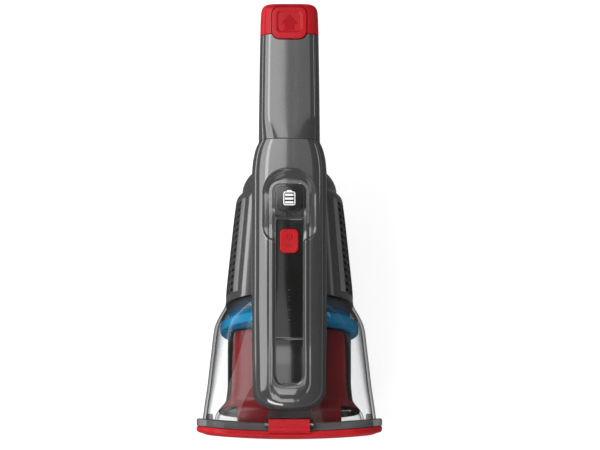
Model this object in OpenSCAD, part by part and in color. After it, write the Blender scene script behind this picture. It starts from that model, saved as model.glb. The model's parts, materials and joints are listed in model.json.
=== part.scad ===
// Handheld vacuum, lying on its belly: mouth towards -Y, tail towards +Y, grip side up.

/* [Barrel] */
// Height of the motor axis above the table
axis_z = 62; // [61.5:0.5:62.5]
// Radius of the housing at its front edge
housing_front_r = 52; // [51.5:0.5:52.5]
// Radius of the housing at its rear shoulder
housing_rear_r = 43; // [42.5:0.5:43.5]
// Thickness of the grey shells
shell_t = 2.4; // [2.2:0.1:2.6]

/* [Bowl] */
// Thickness of the clear bowl
bowl_t = 2.4; // [2.2:0.1:2.6]
// Plan radius of the bowed mouth
mouth_r = 700; // [680:10:720]
// Lean of the mouth, with its top lip forward
mouth_rake = 12; // [11.5:0.5:12.5]
// Depth of the red front door
door_t = 5; // [4.8:0.1:5.2]

/* [Grip] */
// Half of the grip's height
grip_half_h = 21.5; // [21.5:0.1:21.8]
// Radius of one battery cell
cell_r = 9; // [8.9:0.1:9]
// Length of one battery cell
cell_len = 65; // [64:1:66]

/* [Controls] */
// Width of the power button
button_w = 15.2; // [14.8:0.2:15.4]
// Length of the power button
button_len = 20; // [19.5:0.5:20]
// Half of the inlay's width
inlay_half_w = 13.4; // [13:0.2:13.6]

/* [Hidden] */

// Running gap between pieces that move apart, and a closer one between fixed pieces
gap = 0.4;
fit = 0.15;
eps = 0.01;
facets = 40;

// Places along the length
y_shift = 2;
housing_front_y = -64;
shoulder_y = 26;
dome_y = 30;
dome_len = 27;
dome_r = 38.5;
seam_y = 59;
cap_y = 144.7;
tail_y = 173;
mouth_y = -168.7;
mouth_z = 45;
split_z = axis_z + 47;
grip_z = axis_z + 47.5;
top_z = axis_z + 69;

// Spine outline: place along the length, half width, top height
SPINE = [[-155.2, 9, 91], [-154.5, 17, 92.6], [-153, 22.6, 94.4], [-150.5, 26.4, 96.4],
    [-147, 28.8, 98.8], [-142, 30.2, 101.8], [-130, 30.3, 108.4], [-115, 30.3, 116.2],
    [-99, 30.3, 123.2], [-88, 30.3, 127.2], [-78, 30.3, 129.6], [-66, 30.3, 130.8],
    [-50, 30.3, top_z], [30, 30.3, top_z], [42, 29.6, top_z], [48, 28.6, top_z],
    [53, 27.4, top_z], [56, 26.2, top_z], [seam_y, 24.8, top_z]];

// Tail outline: place along the length, half width
TAIL = [[seam_y, 24.8], [100, 24.4], [cap_y, 23.8], [160, 23.5], [168, 23], [171.4, 22], [tail_y, 20]];

// Bowl outline: place along the length, half width, top, bottom, squareness
BOWL = [[-64.4, 52.3, 114.3, 9.7, 2], [-68, 53.8, 116.6, 7.2, 2], [-72, 56.2, 118.8, 5, 2],
    [-76, 58.2, 120.4, 3.6, 2], [-80, 60, 121.2, 2.8, 2.02], [-84, 61.1, 121.2, 2.4, 2.05],
    [-90, 62, 119.8, 2.4, 2.1], [-99, 63, 116.2, 2.6, 2.2], [-115, 64.9, 108.6, 3.6, 2.4],
    [-130, 66.6, 100, 5.4, 2.7], [-146, 69, 91, 8, 3.1], [-160, 70.8, 85.2, 10, 3.3],
    [-178, 73, 78, 12.6, 3.4]];

// Duct outline: place along the length, half width, top, bottom
DUCT = [[-178, 59, 61, 24], [-166, 58, 63.5, 23.5], [-155, 54.4, 67, 23], [-140, 51.4, 72.5, 23.5],
    [-125, 50, 78.5, 25], [-108, 50, 84.5, 28], [-93, 50, 88.5, 31], [-88, 49.4, 89, 32]];

function column(table, k) = [for (row = table) [row[0], row[k]]];
function signed_pow(v, e) = sign(v) * pow(abs(v), e);

// One closed ring of a rounded section; the upper and lower halves meet at the widest height
function ring(y, w, z_mid, up, down, n, count = facets) = [for (i = [0:count - 1])
    let (t = 360 * i / count, c = cos(t), s = sin(t))
    [w * signed_pow(c, 2 / n), y, z_mid + (s > 0 ? up : down) * signed_pow(s, 2 / n)]];

// Closed solid through rings that follow each other towards +Y
module loft(rings) {
    count = len(rings[0]);
    last = len(rings) - 1;
    walls = [for (k = [0:last - 1], i = [0:count - 1])
        let (j = (i + 1) % count, p = k * count, q = (k + 1) * count)
        each [[p + i, q + j, q + i], [p + i, p + j, q + j]]];
    near = [for (i = [0:count - 1]) count - 1 - i];
    far = [for (i = [0:count - 1]) last * count + i];
    polyhedron([for (r = rings) each r], concat(walls, [near, far]), convexity = 6);
}

// ---- Solids that the shells are cut from ----

// Spine, shrunk at the sides by inset and lowered at the top by drop
module spine_solid(inset = 0, drop = 0, extend = 0) {
    stations = [for (row = SPINE) row[0]];
    last = len(stations) - 1;
    loft([for (k = [0:last])
        let (y = stations[k] + (k == 0 ? inset : 0) + (k == last ? extend : 0),
            w = lookup(y, column(SPINE, 1)), top = lookup(y, column(SPINE, 2)))
        ring(y, w - inset, top - 19, 19 - drop, 27, 3.3)]);
}

module spine_core() {
    inner_y = [for (row = SPINE) if (row[0] > -150) row[0]];
    last = len(inner_y) - 1;
    loft([for (k = [0:last])
        let (y = inner_y[k] + (k == last ? 1 : 0),
            w = lookup(inner_y[k], column(SPINE, 1)), top = lookup(inner_y[k], column(SPINE, 2)))
        ring(y, w - shell_t, top - 19, 19 - 4.4, 45, 3.3)]);
}

module tail_solid(inset = 0, from_y = seam_y, to_y = tail_y, end_inset = 0) {
    stations = concat([from_y], [for (row = TAIL) if (row[0] > from_y && row[0] < to_y) row[0]], [to_y]);
    loft([for (y = stations)
        let (w = lookup(y, column(TAIL, 1)), shrink = 24.8 - w)
        ring(y - (y == to_y ? end_inset : 0), w - inset, grip_z, grip_half_h - inset - max(0, shrink - 1) * 0.7,
            grip_half_h - inset - max(0, shrink - 1) * 0.7, 3.2)]);
}

module bowl_solid(inset = 0) {
    rows = [for (k = [len(BOWL) - 1:-1:0]) BOWL[k]];
    loft([for (row = rows)
        ring(row[0] + (row[0] > -65 && inset > 0 ? 1 : 0), row[1] - inset, (row[2] + row[3]) / 2,
            (row[2] - row[3]) / 2 - inset, (row[2] - row[3]) / 2 - inset, row[4])]);
}

module duct_solid(inset = 0) {
    loft([for (row = DUCT)
        ring(row[0] + (row[0] > -90 ? inset : 0) - (row[0] < -170 ? inset : 0), row[1] - inset,
            (row[2] + row[3]) / 2, (row[2] - row[3]) / 2 - inset, (row[2] - row[3]) / 2 - inset, 3)]);
}

// Housing: a straight taper, a shoulder, then a rounded rear
module housing_profile(inset) {
    front = housing_front_r - inset;
    rear = housing_rear_r - inset;
    y0 = -housing_front_y;
    dome = [for (a = [0:10:80]) [(dome_r - inset) * cos(a), -dome_y - (dome_len - inset) * sin(a)]];
    polygon(concat([[0, y0 + (inset > 0 ? 1 : 0)], [front, y0 + (inset > 0 ? 1 : 0)],
        [rear, -shoulder_y + 2], [rear - 2.6, -shoulder_y - 1.5]], dome,
        [[0, -dome_y - dome_len + inset]]));
}

module housing_solid(inset = 0) {
    along_y() rotate_extrude($fn = 96) housing_profile(inset);
}

// Turns a Z-axis shape about the motor axis, with its +Z pointing to the mouth
module along_y() {
    translate([0, 0, axis_z]) rotate([90, 0, 0]) children();
}

// Moves the finished piece so that the origin is midway between mouth and tail
module placed() {
    translate([0, y_shift, 0]) children();
}

// A plain round piece on the motor axis, from y0 to y1
module disc(r, y0, y1, x = 0, z = axis_z, fn = 64) {
    translate([x, y1, z]) rotate([90, 0, 0]) cylinder(r = r, h = y1 - y0, $fn = fn);
}

// Everything behind the bowed, raked mouth surface that lies depth behind the door's face
module mouth_cut(depth) {
    translate([0, mouth_y, mouth_z]) rotate([mouth_rake, 0, 0]) translate([0, mouth_r, 0])
        cylinder(r = mouth_r - depth, h = 400, center = true, $fn = 360);
}

// Rounded prism along the length, centred on the mouth
module mouth_prism(half_w, z0, z1, r, y0 = -200, y1 = -120) {
    translate([0, y1, 0]) rotate([90, 0, 0]) linear_extrude(y1 - y0)
        rounded([2 * half_w, z1 - z0], r, (z0 + z1) / 2);
}

module rounded(size, r, cy = 0, cx = 0) {
    translate([cx, cy]) union() {
        square([size[0] - 2 * r, size[1]], center = true);
        square([size[0], size[1] - 2 * r], center = true);
        for (sx = [-1, 1], sy = [-1, 1])
            translate([sx * (size[0] / 2 - r), sy * (size[1] / 2 - r)]) circle(r, $fn = 48);
    }
}

// Upright prism with a rounded outline, from z0 to z1
module block(size, r, y, z0, z1, x = 0) {
    translate([x, y, z0]) linear_extrude(z1 - z0) rounded(size, r);
}

// A coil spring of round wire, standing on z0
module coil(r, wire, z0, height, turns, x, y) {
    per_turn = 12;
    last = turns * per_turn;
    sides = 6;
    loft_pts = [for (k = [0:last], i = [0:sides - 1])
        let (a = 360 * k / per_turn, t = 360 * i / sides, rr = r + wire * cos(t))
        [x + rr * cos(a), y + rr * sin(a), z0 + wire + (height - 2 * wire) * k / last + wire * sin(t)]];
    walls = [for (k = [0:last - 1], i = [0:sides - 1])
        let (j = (i + 1) % sides, p = k * sides, q = (k + 1) * sides)
        each [[p + i, q + i, q + j], [p + i, q + j, p + j]]];
    near = [for (i = [0:sides - 1]) i];
    far = [for (i = [0:sides - 1]) last * sides + sides - 1 - i];
    polyhedron(loft_pts, concat(walls, [near, far]), convexity = 10);
}

// ---- Outlines on the spine's top ----

module inlay_outline(grow = 0) {
    w = inlay_half_w + grow;
    translate([0, -11 + grow]) square([2 * w, 4], center = true);
    translate([-w, -124]) square([2 * w, 114 + grow]);
    translate([0, -124]) circle(w, $fn = 64);
}

module release_outline(grow = 0) {
    intersection() {
        inlay_outline(grow);
        translate([-30, -150]) square([60, 150 - 106.4 + grow]);
    }
}

module dish_outline(grow = 0) {
    r = 22 + grow;
    translate([0, 12]) circle(r, $fn = 72);
    translate([-r, -16]) square([2 * r, 28]);
    translate([0, -16]) intersection() {
        circle(r, $fn = 72);
        translate([-r, -9 - grow]) square([2 * r, 30]);
    }
}

module prism(z0, z1) {
    translate([0, 0, z0]) linear_extrude(z1 - z0) children();
}

// ---- Main shells ----

module spine_cover() {
    color([0.36, 0.36, 0.37]) difference() {
        spine_solid();
        spine_core();
        housing_solid(-fit);
        bowl_solid(-gap - 0.1);
        disc(housing_front_r + 0.9, housing_front_y - 2, housing_front_y + 1);
        translate([-40, dome_y - fit, 60]) cube([80, 60, split_z + fit - 60]);
        difference() {
            prism(85, 140) inlay_outline(fit);
            spine_solid(-2, 2.0, 1);
        }
        difference() {
            prism(120, 140) dish_outline();
            spine_solid(-2, 1.6, 1);
        }
        block([button_w + 2 * gap, button_len + 2 * gap], 4.4, power_y, 110, 140);
        prism(80, 140) release_outline(gap);
        block([25, 23], 1.5, 10, 112, 140);
    }
    color([0.3, 0.3, 0.3]) board_posts();
}
power_y = -26;
board_holes = [for (s = [-1, 1], y = [-33, 29]) [s * 18.5, y]];

// Posts under the cover that the control board is screwed to
module board_posts() {
    difference() {
        for (p = board_holes) translate([p[0], p[1], 117.7]) cylinder(r = 2.8, h = 10, $fn = 32);
        for (p = board_holes) translate([p[0], p[1], 110]) cylinder(r = 1.1, h = 14, $fn = 24);
    }
}

module grip_upper() {
    color([0.37, 0.37, 0.38]) difference() {
        union() {
            difference() {
                tail_solid(0, seam_y + fit, cap_y);
                tail_solid(shell_t, seam_y - 1, cap_y + 1);
                translate([-30, 50, 80]) cube([60, 110, split_z - 80]);
            }
            for (s = [-1, 1], y = [65, 140.5])
                translate([s * 19, y, split_z]) cylinder(r = 2.6, h = 12, $fn = 32);
        }
        for (s = [-1, 1], y = [65, 140.5])
            translate([s * 19, y, split_z - 1]) cylinder(r = 1.25, h = 10, $fn = 24);
        block([29.4, 20], 7, 149.8, 126, 140);
    }
}

module grip_lower_outer() {
    rows = [[30, 29, 58], [38, 27.5, 63], [46, 26.2, 70], [54, 25.2, 77.5], [62, 24.8, 83], [72, 24.6, 86.8],
        [84, 24.5, 88], [100, 24.4, 88], [cap_y, 23.8, 88]];
    loft([for (row = rows) ring(row[0], row[1], grip_z, 21.5, grip_z - row[2], 3.2)]);
}

module grip_lower_inner() {
    rows = [[29, 27, 60], [38, 25.1, 65.8], [46, 23.8, 72.8], [54, 22.8, 80.2], [62, 22.4, 85.6],
        [72, 22.2, 89.3], [84, 22.1, 90.4], [100, 22, 90.4], [cap_y + 1, 21.4, 90.4]];
    loft([for (row = rows) ring(row[0], row[1], grip_z, 19, grip_z - row[2], 3.2)]);
}

module grip_lower() {
    color([0.27, 0.27, 0.28]) difference() {
        union() {
            difference() {
                grip_lower_outer();
                grip_lower_inner();
            }
            intersection() {
                grip_lower_outer();
                for (s = [-1, 1], y = [65, 140.5])
                    translate([s * 19, y, 84]) cylinder(r = 2.6, h = split_z - fit - 84, $fn = 32);
            }
        }
        housing_solid(-fit);
        translate([-40, 20, split_z - fit]) cube([80, 140, 40]);
        for (s = [-1, 1], y = [65, 140.5]) {
            translate([s * 19, y, 80]) cylinder(r = 1.6, h = 40, $fn = 24);
            translate([s * 19, y, 80]) cylinder(r = 2.3, h = 15.5, $fn = 24);
        }
    }
}

module housing_half(side) {
    difference() {
        union() {
            difference() {
                housing_solid();
                housing_solid(shell_t);
            }
            for (p = boss_places) intersection() {
                housing_solid();
                translate([side > 0 ? 0 : -30, p[0], p[1]]) rotate([0, 90, 0])
                    cylinder(r = 4.4, h = 30, $fn = 32);
            }
        }
        translate([side > 0 ? -200 + fit / 2 : -fit / 2, -100, 0]) cube([200, 200, 140]);
        for (p = boss_places) {
            translate([-60, p[0], p[1]]) rotate([0, 90, 0])
                cylinder(r = side > 0 ? 1.7 : 1.3, h = 120, $fn = 24);
            if (side > 0)
                translate([10, p[0], p[1]]) rotate([0, 90, 0]) cylinder(r = 3, h = 60, $fn = 24);
        }
        vent_pocket(side, fit, -1);
        for (y = vent_rows, a = [-18:9:18])
            along_y() rotate([0, 0, (side > 0 ? 0 : 180) + a])
                translate([30, 0, -y]) cube([40, 2.6, 4], center = true);
        disc(5, 40, 70, 0, 92, 32);
    }
}
// Screw bosses of the housing: place along the length and height
boss_places = [[-54, 16.2], [-2, 24], [38, 34]];
vent_rows = [-48:12:14];

// The shallow band in each side of the housing that takes its vent cover
module vent_pocket(side, grow, depth) {
    slope = (housing_front_r - housing_rear_r) / (-housing_front_y + shoulder_y - 2);
    y0 = -58 - grow;
    y1 = 21 + grow;
    r0 = housing_front_r - slope * (y0 - housing_front_y);
    r1 = housing_front_r - slope * (y1 - housing_front_y);
    swing = 56 + 2 * grow;
    outer = depth < 0 ? 4 : 0.5;
    along_y() rotate([0, 0, (side > 0 ? 0 : 180) - swing / 2])
        rotate_extrude(angle = swing, $fn = 96)
        polygon([[r0 - 1.1 - grow, -y0], [r0 + outer, -y0], [r1 + outer, -y1], [r1 - 1.1 - grow, -y1]]);
}

module vent_cover(side) {
    difference() {
        vent_pocket(side, 0, 1);
        for (k = [0:11], a = [-19:9.5:19]) {
            y = -53 + 6.2 * k;
            along_y() rotate([0, 0, (side > 0 ? 0 : 180) + a])
                translate([45, 0, -y]) rotate([k % 2 == 0 ? 38 : -38, 0, 0]) cube([30, 2.2, 6.2], center = true);
        }
    }
}

module motor_housing_left() { color([0.2, 0.2, 0.21]) housing_half(-1); }
module motor_housing_right() { color([0.2, 0.2, 0.21]) housing_half(1); }
module vent_cover_left() { color([0.15, 0.15, 0.16]) vent_cover(-1); }
module vent_cover_right() { color([0.15, 0.15, 0.16]) vent_cover(1); }

// Keel under the housing: the flat belly that the vacuum rests on
module belly_keel() {
    color([0.16, 0.16, 0.17]) difference() {
        hull() {
            block([38, 74], 8, -21, 2, 3.4);
            block([44, 80], 10, -20, 6, 8);
            block([58, 82], 10, -20, 22, 24);
        }
        housing_solid(-fit);
        block([31, 60], 5, -22, 4.4, 60);
        for (s = [-1, 1], y = foot_y) translate([s * 12, y, 0]) cylinder(r = 4.7, h = 3, $fn = 32);
        for (s = [-1, 1]) block([5, 14], 1, -22, 0, 3, s * 7);
    }
}
foot_y = [-48, 4];

module charge_contacts() {
    color([0.8, 0.68, 0.4]) for (s = [-1, 1]) block([4.7, 13.7], 0.8, -22, 2.2, 3, s * 7);
}

module feet() {
    color([0.06, 0.06, 0.06]) for (s = [-1, 1], y = foot_y)
        translate([s * 12, y, 0]) cylinder(r = 4.6, h = 3, $fn = 32);
}

// ---- Controls ----

module display_bezel() {
    color([0.6, 0.6, 0.6]) difference() {
        intersection() {
            block([32.4, 30.4], 6, 8.8, 110, 140);
            spine_solid(-2, 0.6, 1);
        }
        spine_solid(-2, 1.45, 1);
        block([27.8, 26.4], 4, 9, 100, 140);
    }
}

module display_window() {
    color([0.02, 0.02, 0.02]) difference() {
        intersection() {
            block([27.5, 26.1], 3.9, 9, 110, 140);
            spine_solid(-2, 0.7, 1);
        }
        spine_solid(-2, 1.45, 1);
        display_marks(0.05);
    }
}

// Battery symbol: outline, cap and three bars, let into the window
module display_marks(grow) {
    prism(top_z - 1.1 - grow, 140) offset_marks(grow);
}

module offset_marks(grow) {
    difference() {
        rounded([10.4 + 2 * grow, 11.2 + 2 * grow], 1.4, 9.4);
        rounded([8.6 - 2 * grow, 9.4 - 2 * grow], 0.8, 9.4);
    }
    translate([-2 - grow, 15.3 - grow]) square([4 + 2 * grow, 1.2 + 2 * grow]);
    for (k = [0:2]) translate([-3.3 - grow, 5.6 + 2.7 * k - grow]) square([6.6 + 2 * grow, 1.7 + 2 * grow]);
}

module display_icon() {
    color([0.95, 0.95, 0.95]) intersection() {
        prism(top_z - 1.1, 140) offset_marks(0);
        spine_solid(-2, 0.75, 1);
    }
}

module inlay_panel() {
    color([0.04, 0.04, 0.04]) difference() {
        intersection() {
            prism(85, 140) inlay_outline();
            spine_solid(-2, 0.5, 1);
        }
        spine_solid(-2, 1.85, 1);
        prism(80, 140) release_outline(gap);
        block([button_w + 2 * gap, button_len + 2 * gap], 4.4, power_y, 110, 140);
    }
}

module power_button() {
    color([0.6, 0.05, 0.07]) union() {
        block([button_w, button_len], 4, power_y, 125.6, top_z + 0.4);
        translate([0, power_y, 121.8]) cylinder(r = 2.2, h = 5, $fn = 32);
    }
}

module release_button() {
    color([0.05, 0.05, 0.05]) union() {
        difference() {
            intersection() {
                prism(85, 140) release_outline();
                spine_solid(-2, 0.3, 1);
            }
            spine_solid(-2, 2.6, 1);
        }
        spine_band(2.5, 3.3) translate([-2.5, -124]) square([5, 5]);
    }
}

// The part of the spine between two depths below its top, under a flat outline
module spine_band(drop0, drop1) {
    difference() {
        intersection() {
            prism(80, 140) children();
            spine_solid(-2, drop0, 1);
        }
        spine_solid(-2, drop1, 1);
    }
}

// Leaf spring under the foot of the release button; its ends step down and hook under the cover
module release_spring() {
    bow = [for (y = [-144, -142, -136.8, -136, -130, -115, -107.8, -107, -99, -98])
        [y, lookup(y, column(SPINE, 2)) - (y < -136.5 || y > -107.5 ? 4.8 : 3.65)]];
    above = [for (p = bow) p + [0, 0.2]];
    below = [for (k = [len(bow) - 1:-1:0]) bow[k] - [0, 0.2]];
    color([0.7, 0.7, 0.72]) rotate([90, 0, 90]) linear_extrude(6, center = true)
        polygon(concat(above, below));
}

module power_spring() {
    color([0.7, 0.7, 0.72]) coil(4.6, 0.35, 117.8, 7.7, 5, 0, power_y);
}

module control_board() {
    color([0.05, 0.3, 0.15]) difference() {
        block([44, 70], 1, -2, 116, 117.6);
        for (p = board_holes) translate([p[0], p[1], 100]) cylinder(r = 1.4, h = 30, $fn = 24);
    }
}

module power_switch() {
    color([0.12, 0.12, 0.12]) union() {
        block([6, 6], 0.4, power_y, 117.6, 120);
        translate([0, power_y, 119.9]) cylinder(r = 1.6, h = 0.5, $fn = 24);
    }
}

// ---- Motor and fan ----

module motor_can() {
    color([0.62, 0.62, 0.64]) union() {
        difference() {
            disc(23, -38, 14);
            disc(21.6, -36.6, 12.6);
            disc(3, -60, 40);
        }
        for (y = [[-42, -36.7], [12.7, 17]]) difference() {
            disc(8, y[0], y[1]);
            disc(5.6, y[0] + (y[0] < 0 ? -1 : 0), y[1] + (y[0] < 0 ? 0 : 1));
        }
    }
}

module bearing(y0, y1) {
    color([0.75, 0.75, 0.77]) difference() {
        disc(5.5, y0, y1);
        disc(1.55, y0 - 1, y1 + 1, fn = 48);
    }
}

module bearing_front() { bearing(-42, -38.1); }
module bearing_rear() { bearing(14.1, 17); }

module motor_shaft() {
    color([0.7, 0.7, 0.72]) disc(1.5, -58, 18.5, fn = 48);
}

module motor_rotor() {
    color([0.7, 0.4, 0.2]) difference() {
        union() {
            disc(7, -30, 9);
            along_y() translate([0, 0, -7]) linear_extrude(32) for (k = [0:4]) rotate(72 * k) rotor_pole();
        }
        disc(1.5, -50, 30, fn = 48);
    }
}

// One wound pole of the rotor, seen along the shaft
module rotor_pole() {
    translate([5, -2]) square([9, 4]);
    intersection() {
        translate([11, -8]) square([8, 16]);
        circle(17.8, $fn = 64);
    }
}

module motor_magnets() {
    color([0.2, 0.2, 0.2]) for (a = [20, 200]) along_y() rotate([0, 0, a]) translate([0, 0, -9])
        rotate_extrude(angle = 140, $fn = 96) translate([18.4, 0]) square([3.1, 36]);
}

module motor_mount() {
    color([0.08, 0.08, 0.08]) difference() {
        union() {
            disc(26.4, -22, 4);
            for (k = [0:3]) along_y() rotate([0, 0, 45 + 90 * k]) translate([20, -5, -2]) cube([22.2, 10, 12]);
        }
        disc(23.05, -30, 20);
    }
}

// Shroud: a front plate with the air inlet and a skirt around the fan
module fan_shroud() {
    color([0.14, 0.14, 0.15]) difference() {
        union() {
            disc(49.1, -64, -61.5);
            disc(42, -62, -43.5);
        }
        disc(40, -61.5, -45.5);
        disc(17, -70, -50);
        disc(24, -50, -40);
        translate([-40, boss_places[0][0], boss_places[0][1]]) rotate([0, 90, 0])
            cylinder(r = 4.8, h = 80, $fn = 32);
    }
}

module impeller() {
    color([0.75, 0.75, 0.77]) difference() {
        union() {
            disc(36, -49, -47.4);
            disc(5.5, -57, -46);
            for (k = [0:8]) along_y() rotate([0, 0, 40 * k]) translate([0, 0, 48]) linear_extrude(9)
                polygon([for (r = [5:5:35]) [r * cos(1.1 * r), r * sin(1.1 * r)],
                    for (r = [35:-5:5]) [r * cos(1.1 * r + 75 / r), r * sin(1.1 * r + 75 / r)]]);
        }
        disc(1.5, -70, -40, fn = 48);
    }
}

// ---- Battery ----

module cell(x, z) {
    color([0.1, 0.35, 0.55]) union() {
        disc(cell_r, cell_y0, cell_y0 + cell_len, x, z);
        disc(2.6, cell_y0 + cell_len - eps, cell_y0 + cell_len + 0.9, x, z, 32);
    }
}
cell_y0 = 72;
cell_low_z = axis_z + 38.2;
cell_high_z = cell_low_z + 16.2;
cell_x = 9.35;

module cell_left() { cell(-cell_x, cell_low_z); }
module cell_right() { cell(cell_x, cell_low_z); }
module cell_top() { cell(0, cell_high_z); }

module cell_spacer(y) {
    color([0.85, 0.85, 0.8]) difference() {
        translate([0, y + 5, 0]) rotate([90, 0, 0]) linear_extrude(5) union() {
            rounded([38.6, 18], 8, cell_low_z + 0.4);
            rounded([23, 30], 8, cell_low_z + 9.8);
        }
        for (p = [[-cell_x, cell_low_z], [cell_x, cell_low_z], [0, cell_high_z]])
            disc(cell_r + 0.1, y - 1, y + 6, p[0], p[1]);
    }
}

module cell_spacer_front() { cell_spacer(cell_y0 + 4); }
module cell_spacer_rear() { cell_spacer(cell_y0 + cell_len - 9); }

module cell_links() {
    color([0.8, 0.8, 0.78]) {
        translate([-13, cell_y0 - 0.3, cell_low_z - 4]) cube([26, 0.3, 8]);
        translate([-4, cell_y0 + cell_len + 0.9, cell_high_z - 5]) cube([8, 0.3, 8]);
        translate([-13, cell_y0 + cell_len + 0.9, cell_low_z - 4]) cube([26, 0.3, 8]);
    }
}

// Round tube through points that keep their place across the object between neighbours
module tube(points, r, sides = 8) {
    last = len(points) - 1;
    rings = [for (k = [0:last])
        let (t = points[min(k + 1, last)] - points[max(k - 1, 0)], u = cross(t, [1, 0, 0]) / norm(cross(t, [1, 0, 0])),
            v = cross(t, u) / norm(t))
        [for (i = [0:sides - 1]) points[k] + r * (cos(360 * i / sides) * u + sin(360 * i / sides) * v)]];
    loft(rings);
}

// Two insulated leads from the motor's rear, up through the housing and into the grip
module motor_leads() {
    for (s = [-1, 1]) color(s < 0 ? [0.7, 0.05, 0.05] : [0.05, 0.05, 0.05])
        tube([for (q = [[13, 14.4, 0], [13, 30, 0], [12.5, 35, 2], [9, 40, 13], [4, 43, 26], [2.6, 46, 30], [2.6, 69, 31]])
            [s * q[0], q[1], axis_z + q[2]]], 0.9);
}

module housing_screws() {
    color([0.6, 0.6, 0.62]) for (p = boss_places)
        translate([-6, p[0], p[1]]) rotate([0, 90, 0]) union() {
            cylinder(r = 1.25, h = 16.5, $fn = 24);
            translate([0, 0, 16]) cylinder(r = 2.8, h = 2.2, $fn = 24);
        }
}

module grip_screws() {
    color([0.6, 0.6, 0.62]) for (s = [-1, 1], y = [65, 140.5]) translate([s * 19, y, 93.3]) union() {
        cylinder(r = 2.2, h = 2.2, $fn = 24);
        cylinder(r = 1.25, h = 22, $fn = 24);
    }
}

// ---- Tail cap ----

module tail_cap() {
    color([0.72, 0.12, 0.16]) difference() {
        union() {
            difference() {
                tail_solid(0, cap_y + gap, tail_y);
                tail_solid(shell_t, cap_y - 1, tail_y, 3);
            }
            intersection() {
                tail_solid(0.5, cap_y + gap, tail_y);
                translate([-24, 148, 115.8]) cube([48, 22, 2]);
            }
        }
        block([29.2, 28.9], 7, 154.3, 121, 140);
    }
}

// Raised tongue with a framed recess and an arrow towards the tail
module cap_tongue() {
    color([0.7, 0.1, 0.14]) difference() {
        intersection() {
            block([28.4, 27.9], 6.8, 154.4, 128.6, 140);
            tail_solid(-0.35, cap_y - 10, tail_y);
        }
        block([22, 18.4], 4, 154.8, 130, 140);
    }
    color([0.55, 0.04, 0.08]) prism(129.9, 130.8) arrow();
}

module arrow() {
    polygon([[0, 161], [-6.8, 153.4], [-3.9, 153.4], [-3.9, 147.6], [3.9, 147.6], [3.9, 153.4], [6.8, 153.4]]);
}

module tongue_spring() {
    color([0.7, 0.7, 0.72]) coil(3.4, 0.3, 118, 10.3, 4, 0, 155);
}

// ---- Bowl ----

module dust_bowl() {
    color([0.75, 0.78, 0.8, 0.4]) difference() {
        intersection() {
            union() {
                bowl_solid();
                difference() {
                    door_prism();
                    mouth_cut(door_t + 6);
                }
                for (s = [-1, 1]) hinge_lug(s);
                latch_seat();
            }
            union() {
                mouth_cut(door_t + fit);
                hinge_reach();
            }
        }
        bowl_solid(bowl_t);
        translate([-40, hinge_y, hinge_z]) rotate([0, 90, 0]) cylinder(r = 1.55, h = 80, $fn = 32);
        translate([-25, latch_y, latch_z]) rotate([0, 90, 0]) cylinder(r = 1.05, h = 50, $fn = 32);
    }
}
hinge_y = -157;
hinge_z = 5.6;
latch_y = -167;
latch_z = 87.4;

module door_prism() {
    mouth_prism(75, 9, 84, 27);
}

// The space below the door, where the hinge lugs may pass under it
module hinge_reach() {
    translate([-40, -170, 0]) cube([80, 40, 8.7]);
}

module hinge_lug(s) {
    translate([s > 0 ? 28 : -34, hinge_y, hinge_z]) rotate([0, 90, 0]) cylinder(r = 3, h = 6, $fn = 32);
    translate([s > 0 ? 28 : -34, hinge_y, 2.6]) cube([6, 14, 9]);
}

// Clear frame behind the latch, and an ear at each end of the latch's pin
module latch_seat() {
    block([42.4, 6.4], 1.6, -159, 76, 88);
    block([30, 8], 1, -163, 74, 83.4);
    for (s = [-1, 1]) {
        translate([s > 0 ? 17.1 : -19.6, latch_y, latch_z]) rotate([0, 90, 0]) cylinder(r = 2.6, h = 2.5, $fn = 32);
        translate([s > 0 ? 17.1 : -19.6, latch_y - 2.6, 76]) cube([2.5, 5.2, latch_z - 76]);
    }
}

module bowl_seal() {
    color([0.1, 0.1, 0.1]) difference() {
        disc(49.4, -66.4, -64.4);
        disc(46.2, -70, -60);
    }
}

module filter_frame() {
    color([0.06, 0.4, 0.62]) difference() {
        union() {
            disc(filter_r, filter_y, filter_y + 8);
            disc(49.2, filter_y + 7, -66.6);
        }
        disc(46, filter_y + 2, -60);
        disc(41, filter_y - 3, -60);
    }
}
// Front face and radius of the filter
filter_y = -87;
filter_r = 56;

module filter_pleats() {
    color([0.85, 0.84, 0.8]) difference() {
        along_y() translate([0, 0, 67]) linear_extrude(-filter_y - 67 - 2.2)
            polygon([for (k = [0:71]) let (r = k % 2 == 0 ? 45.7 : 36) [r * cos(5 * k), r * sin(5 * k)]]);
        disc(31, -90, -60);
    }
}

module prefilter_mesh() {
    color([0.07, 0.07, 0.07]) difference() {
        union() {
            disc(40.8, filter_y, filter_y + 1.6);
            disc(30.8, filter_y + 1, -66.8);
        }
        disc(29.6, filter_y + 2.6, -60);
        for (k = [0:11], r = [12, 20, 27]) along_y() rotate([0, 0, 30 * k + r])
            translate([r, 0, 80]) cylinder(r = 1.9, h = 12, $fn = 16);
    }
}

module duct_shell() {
    difference() {
        intersection() {
            duct_solid();
            mouth_cut(door_t + 0.6);
        }
        duct_solid(2);
    }
}
// Height of the seam between the duct's two halves, which rises to the rear
module duct_above(shift) {
    translate([-100, -180, 44 + shift]) rotate([9, 0, 0]) cube([200, 120, 80]);
}

module duct_top() {
    color([0.62, 0.1, 0.12]) difference() {
        intersection() {
            duct_shell();
            duct_above(0);
        }
        translate([-60, flap_y, flap_z]) rotate([0, 90, 0]) cylinder(r = 1.05, h = 120, $fn = 24);
    }
}
flap_y = -150;
flap_z = 60;

module duct_base() {
    color([0.05, 0.05, 0.05]) difference() {
        union() {
            duct_shell();
            difference() {
                intersection() {
                    for (s = [-1, 1]) translate([s * 28 - 1, -150, 0]) cube([2, 48, 30]);
                    bowl_solid(bowl_t + fit);
                }
                duct_solid(1);
            }
        }
        duct_above(-fit);
    }
}

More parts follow.
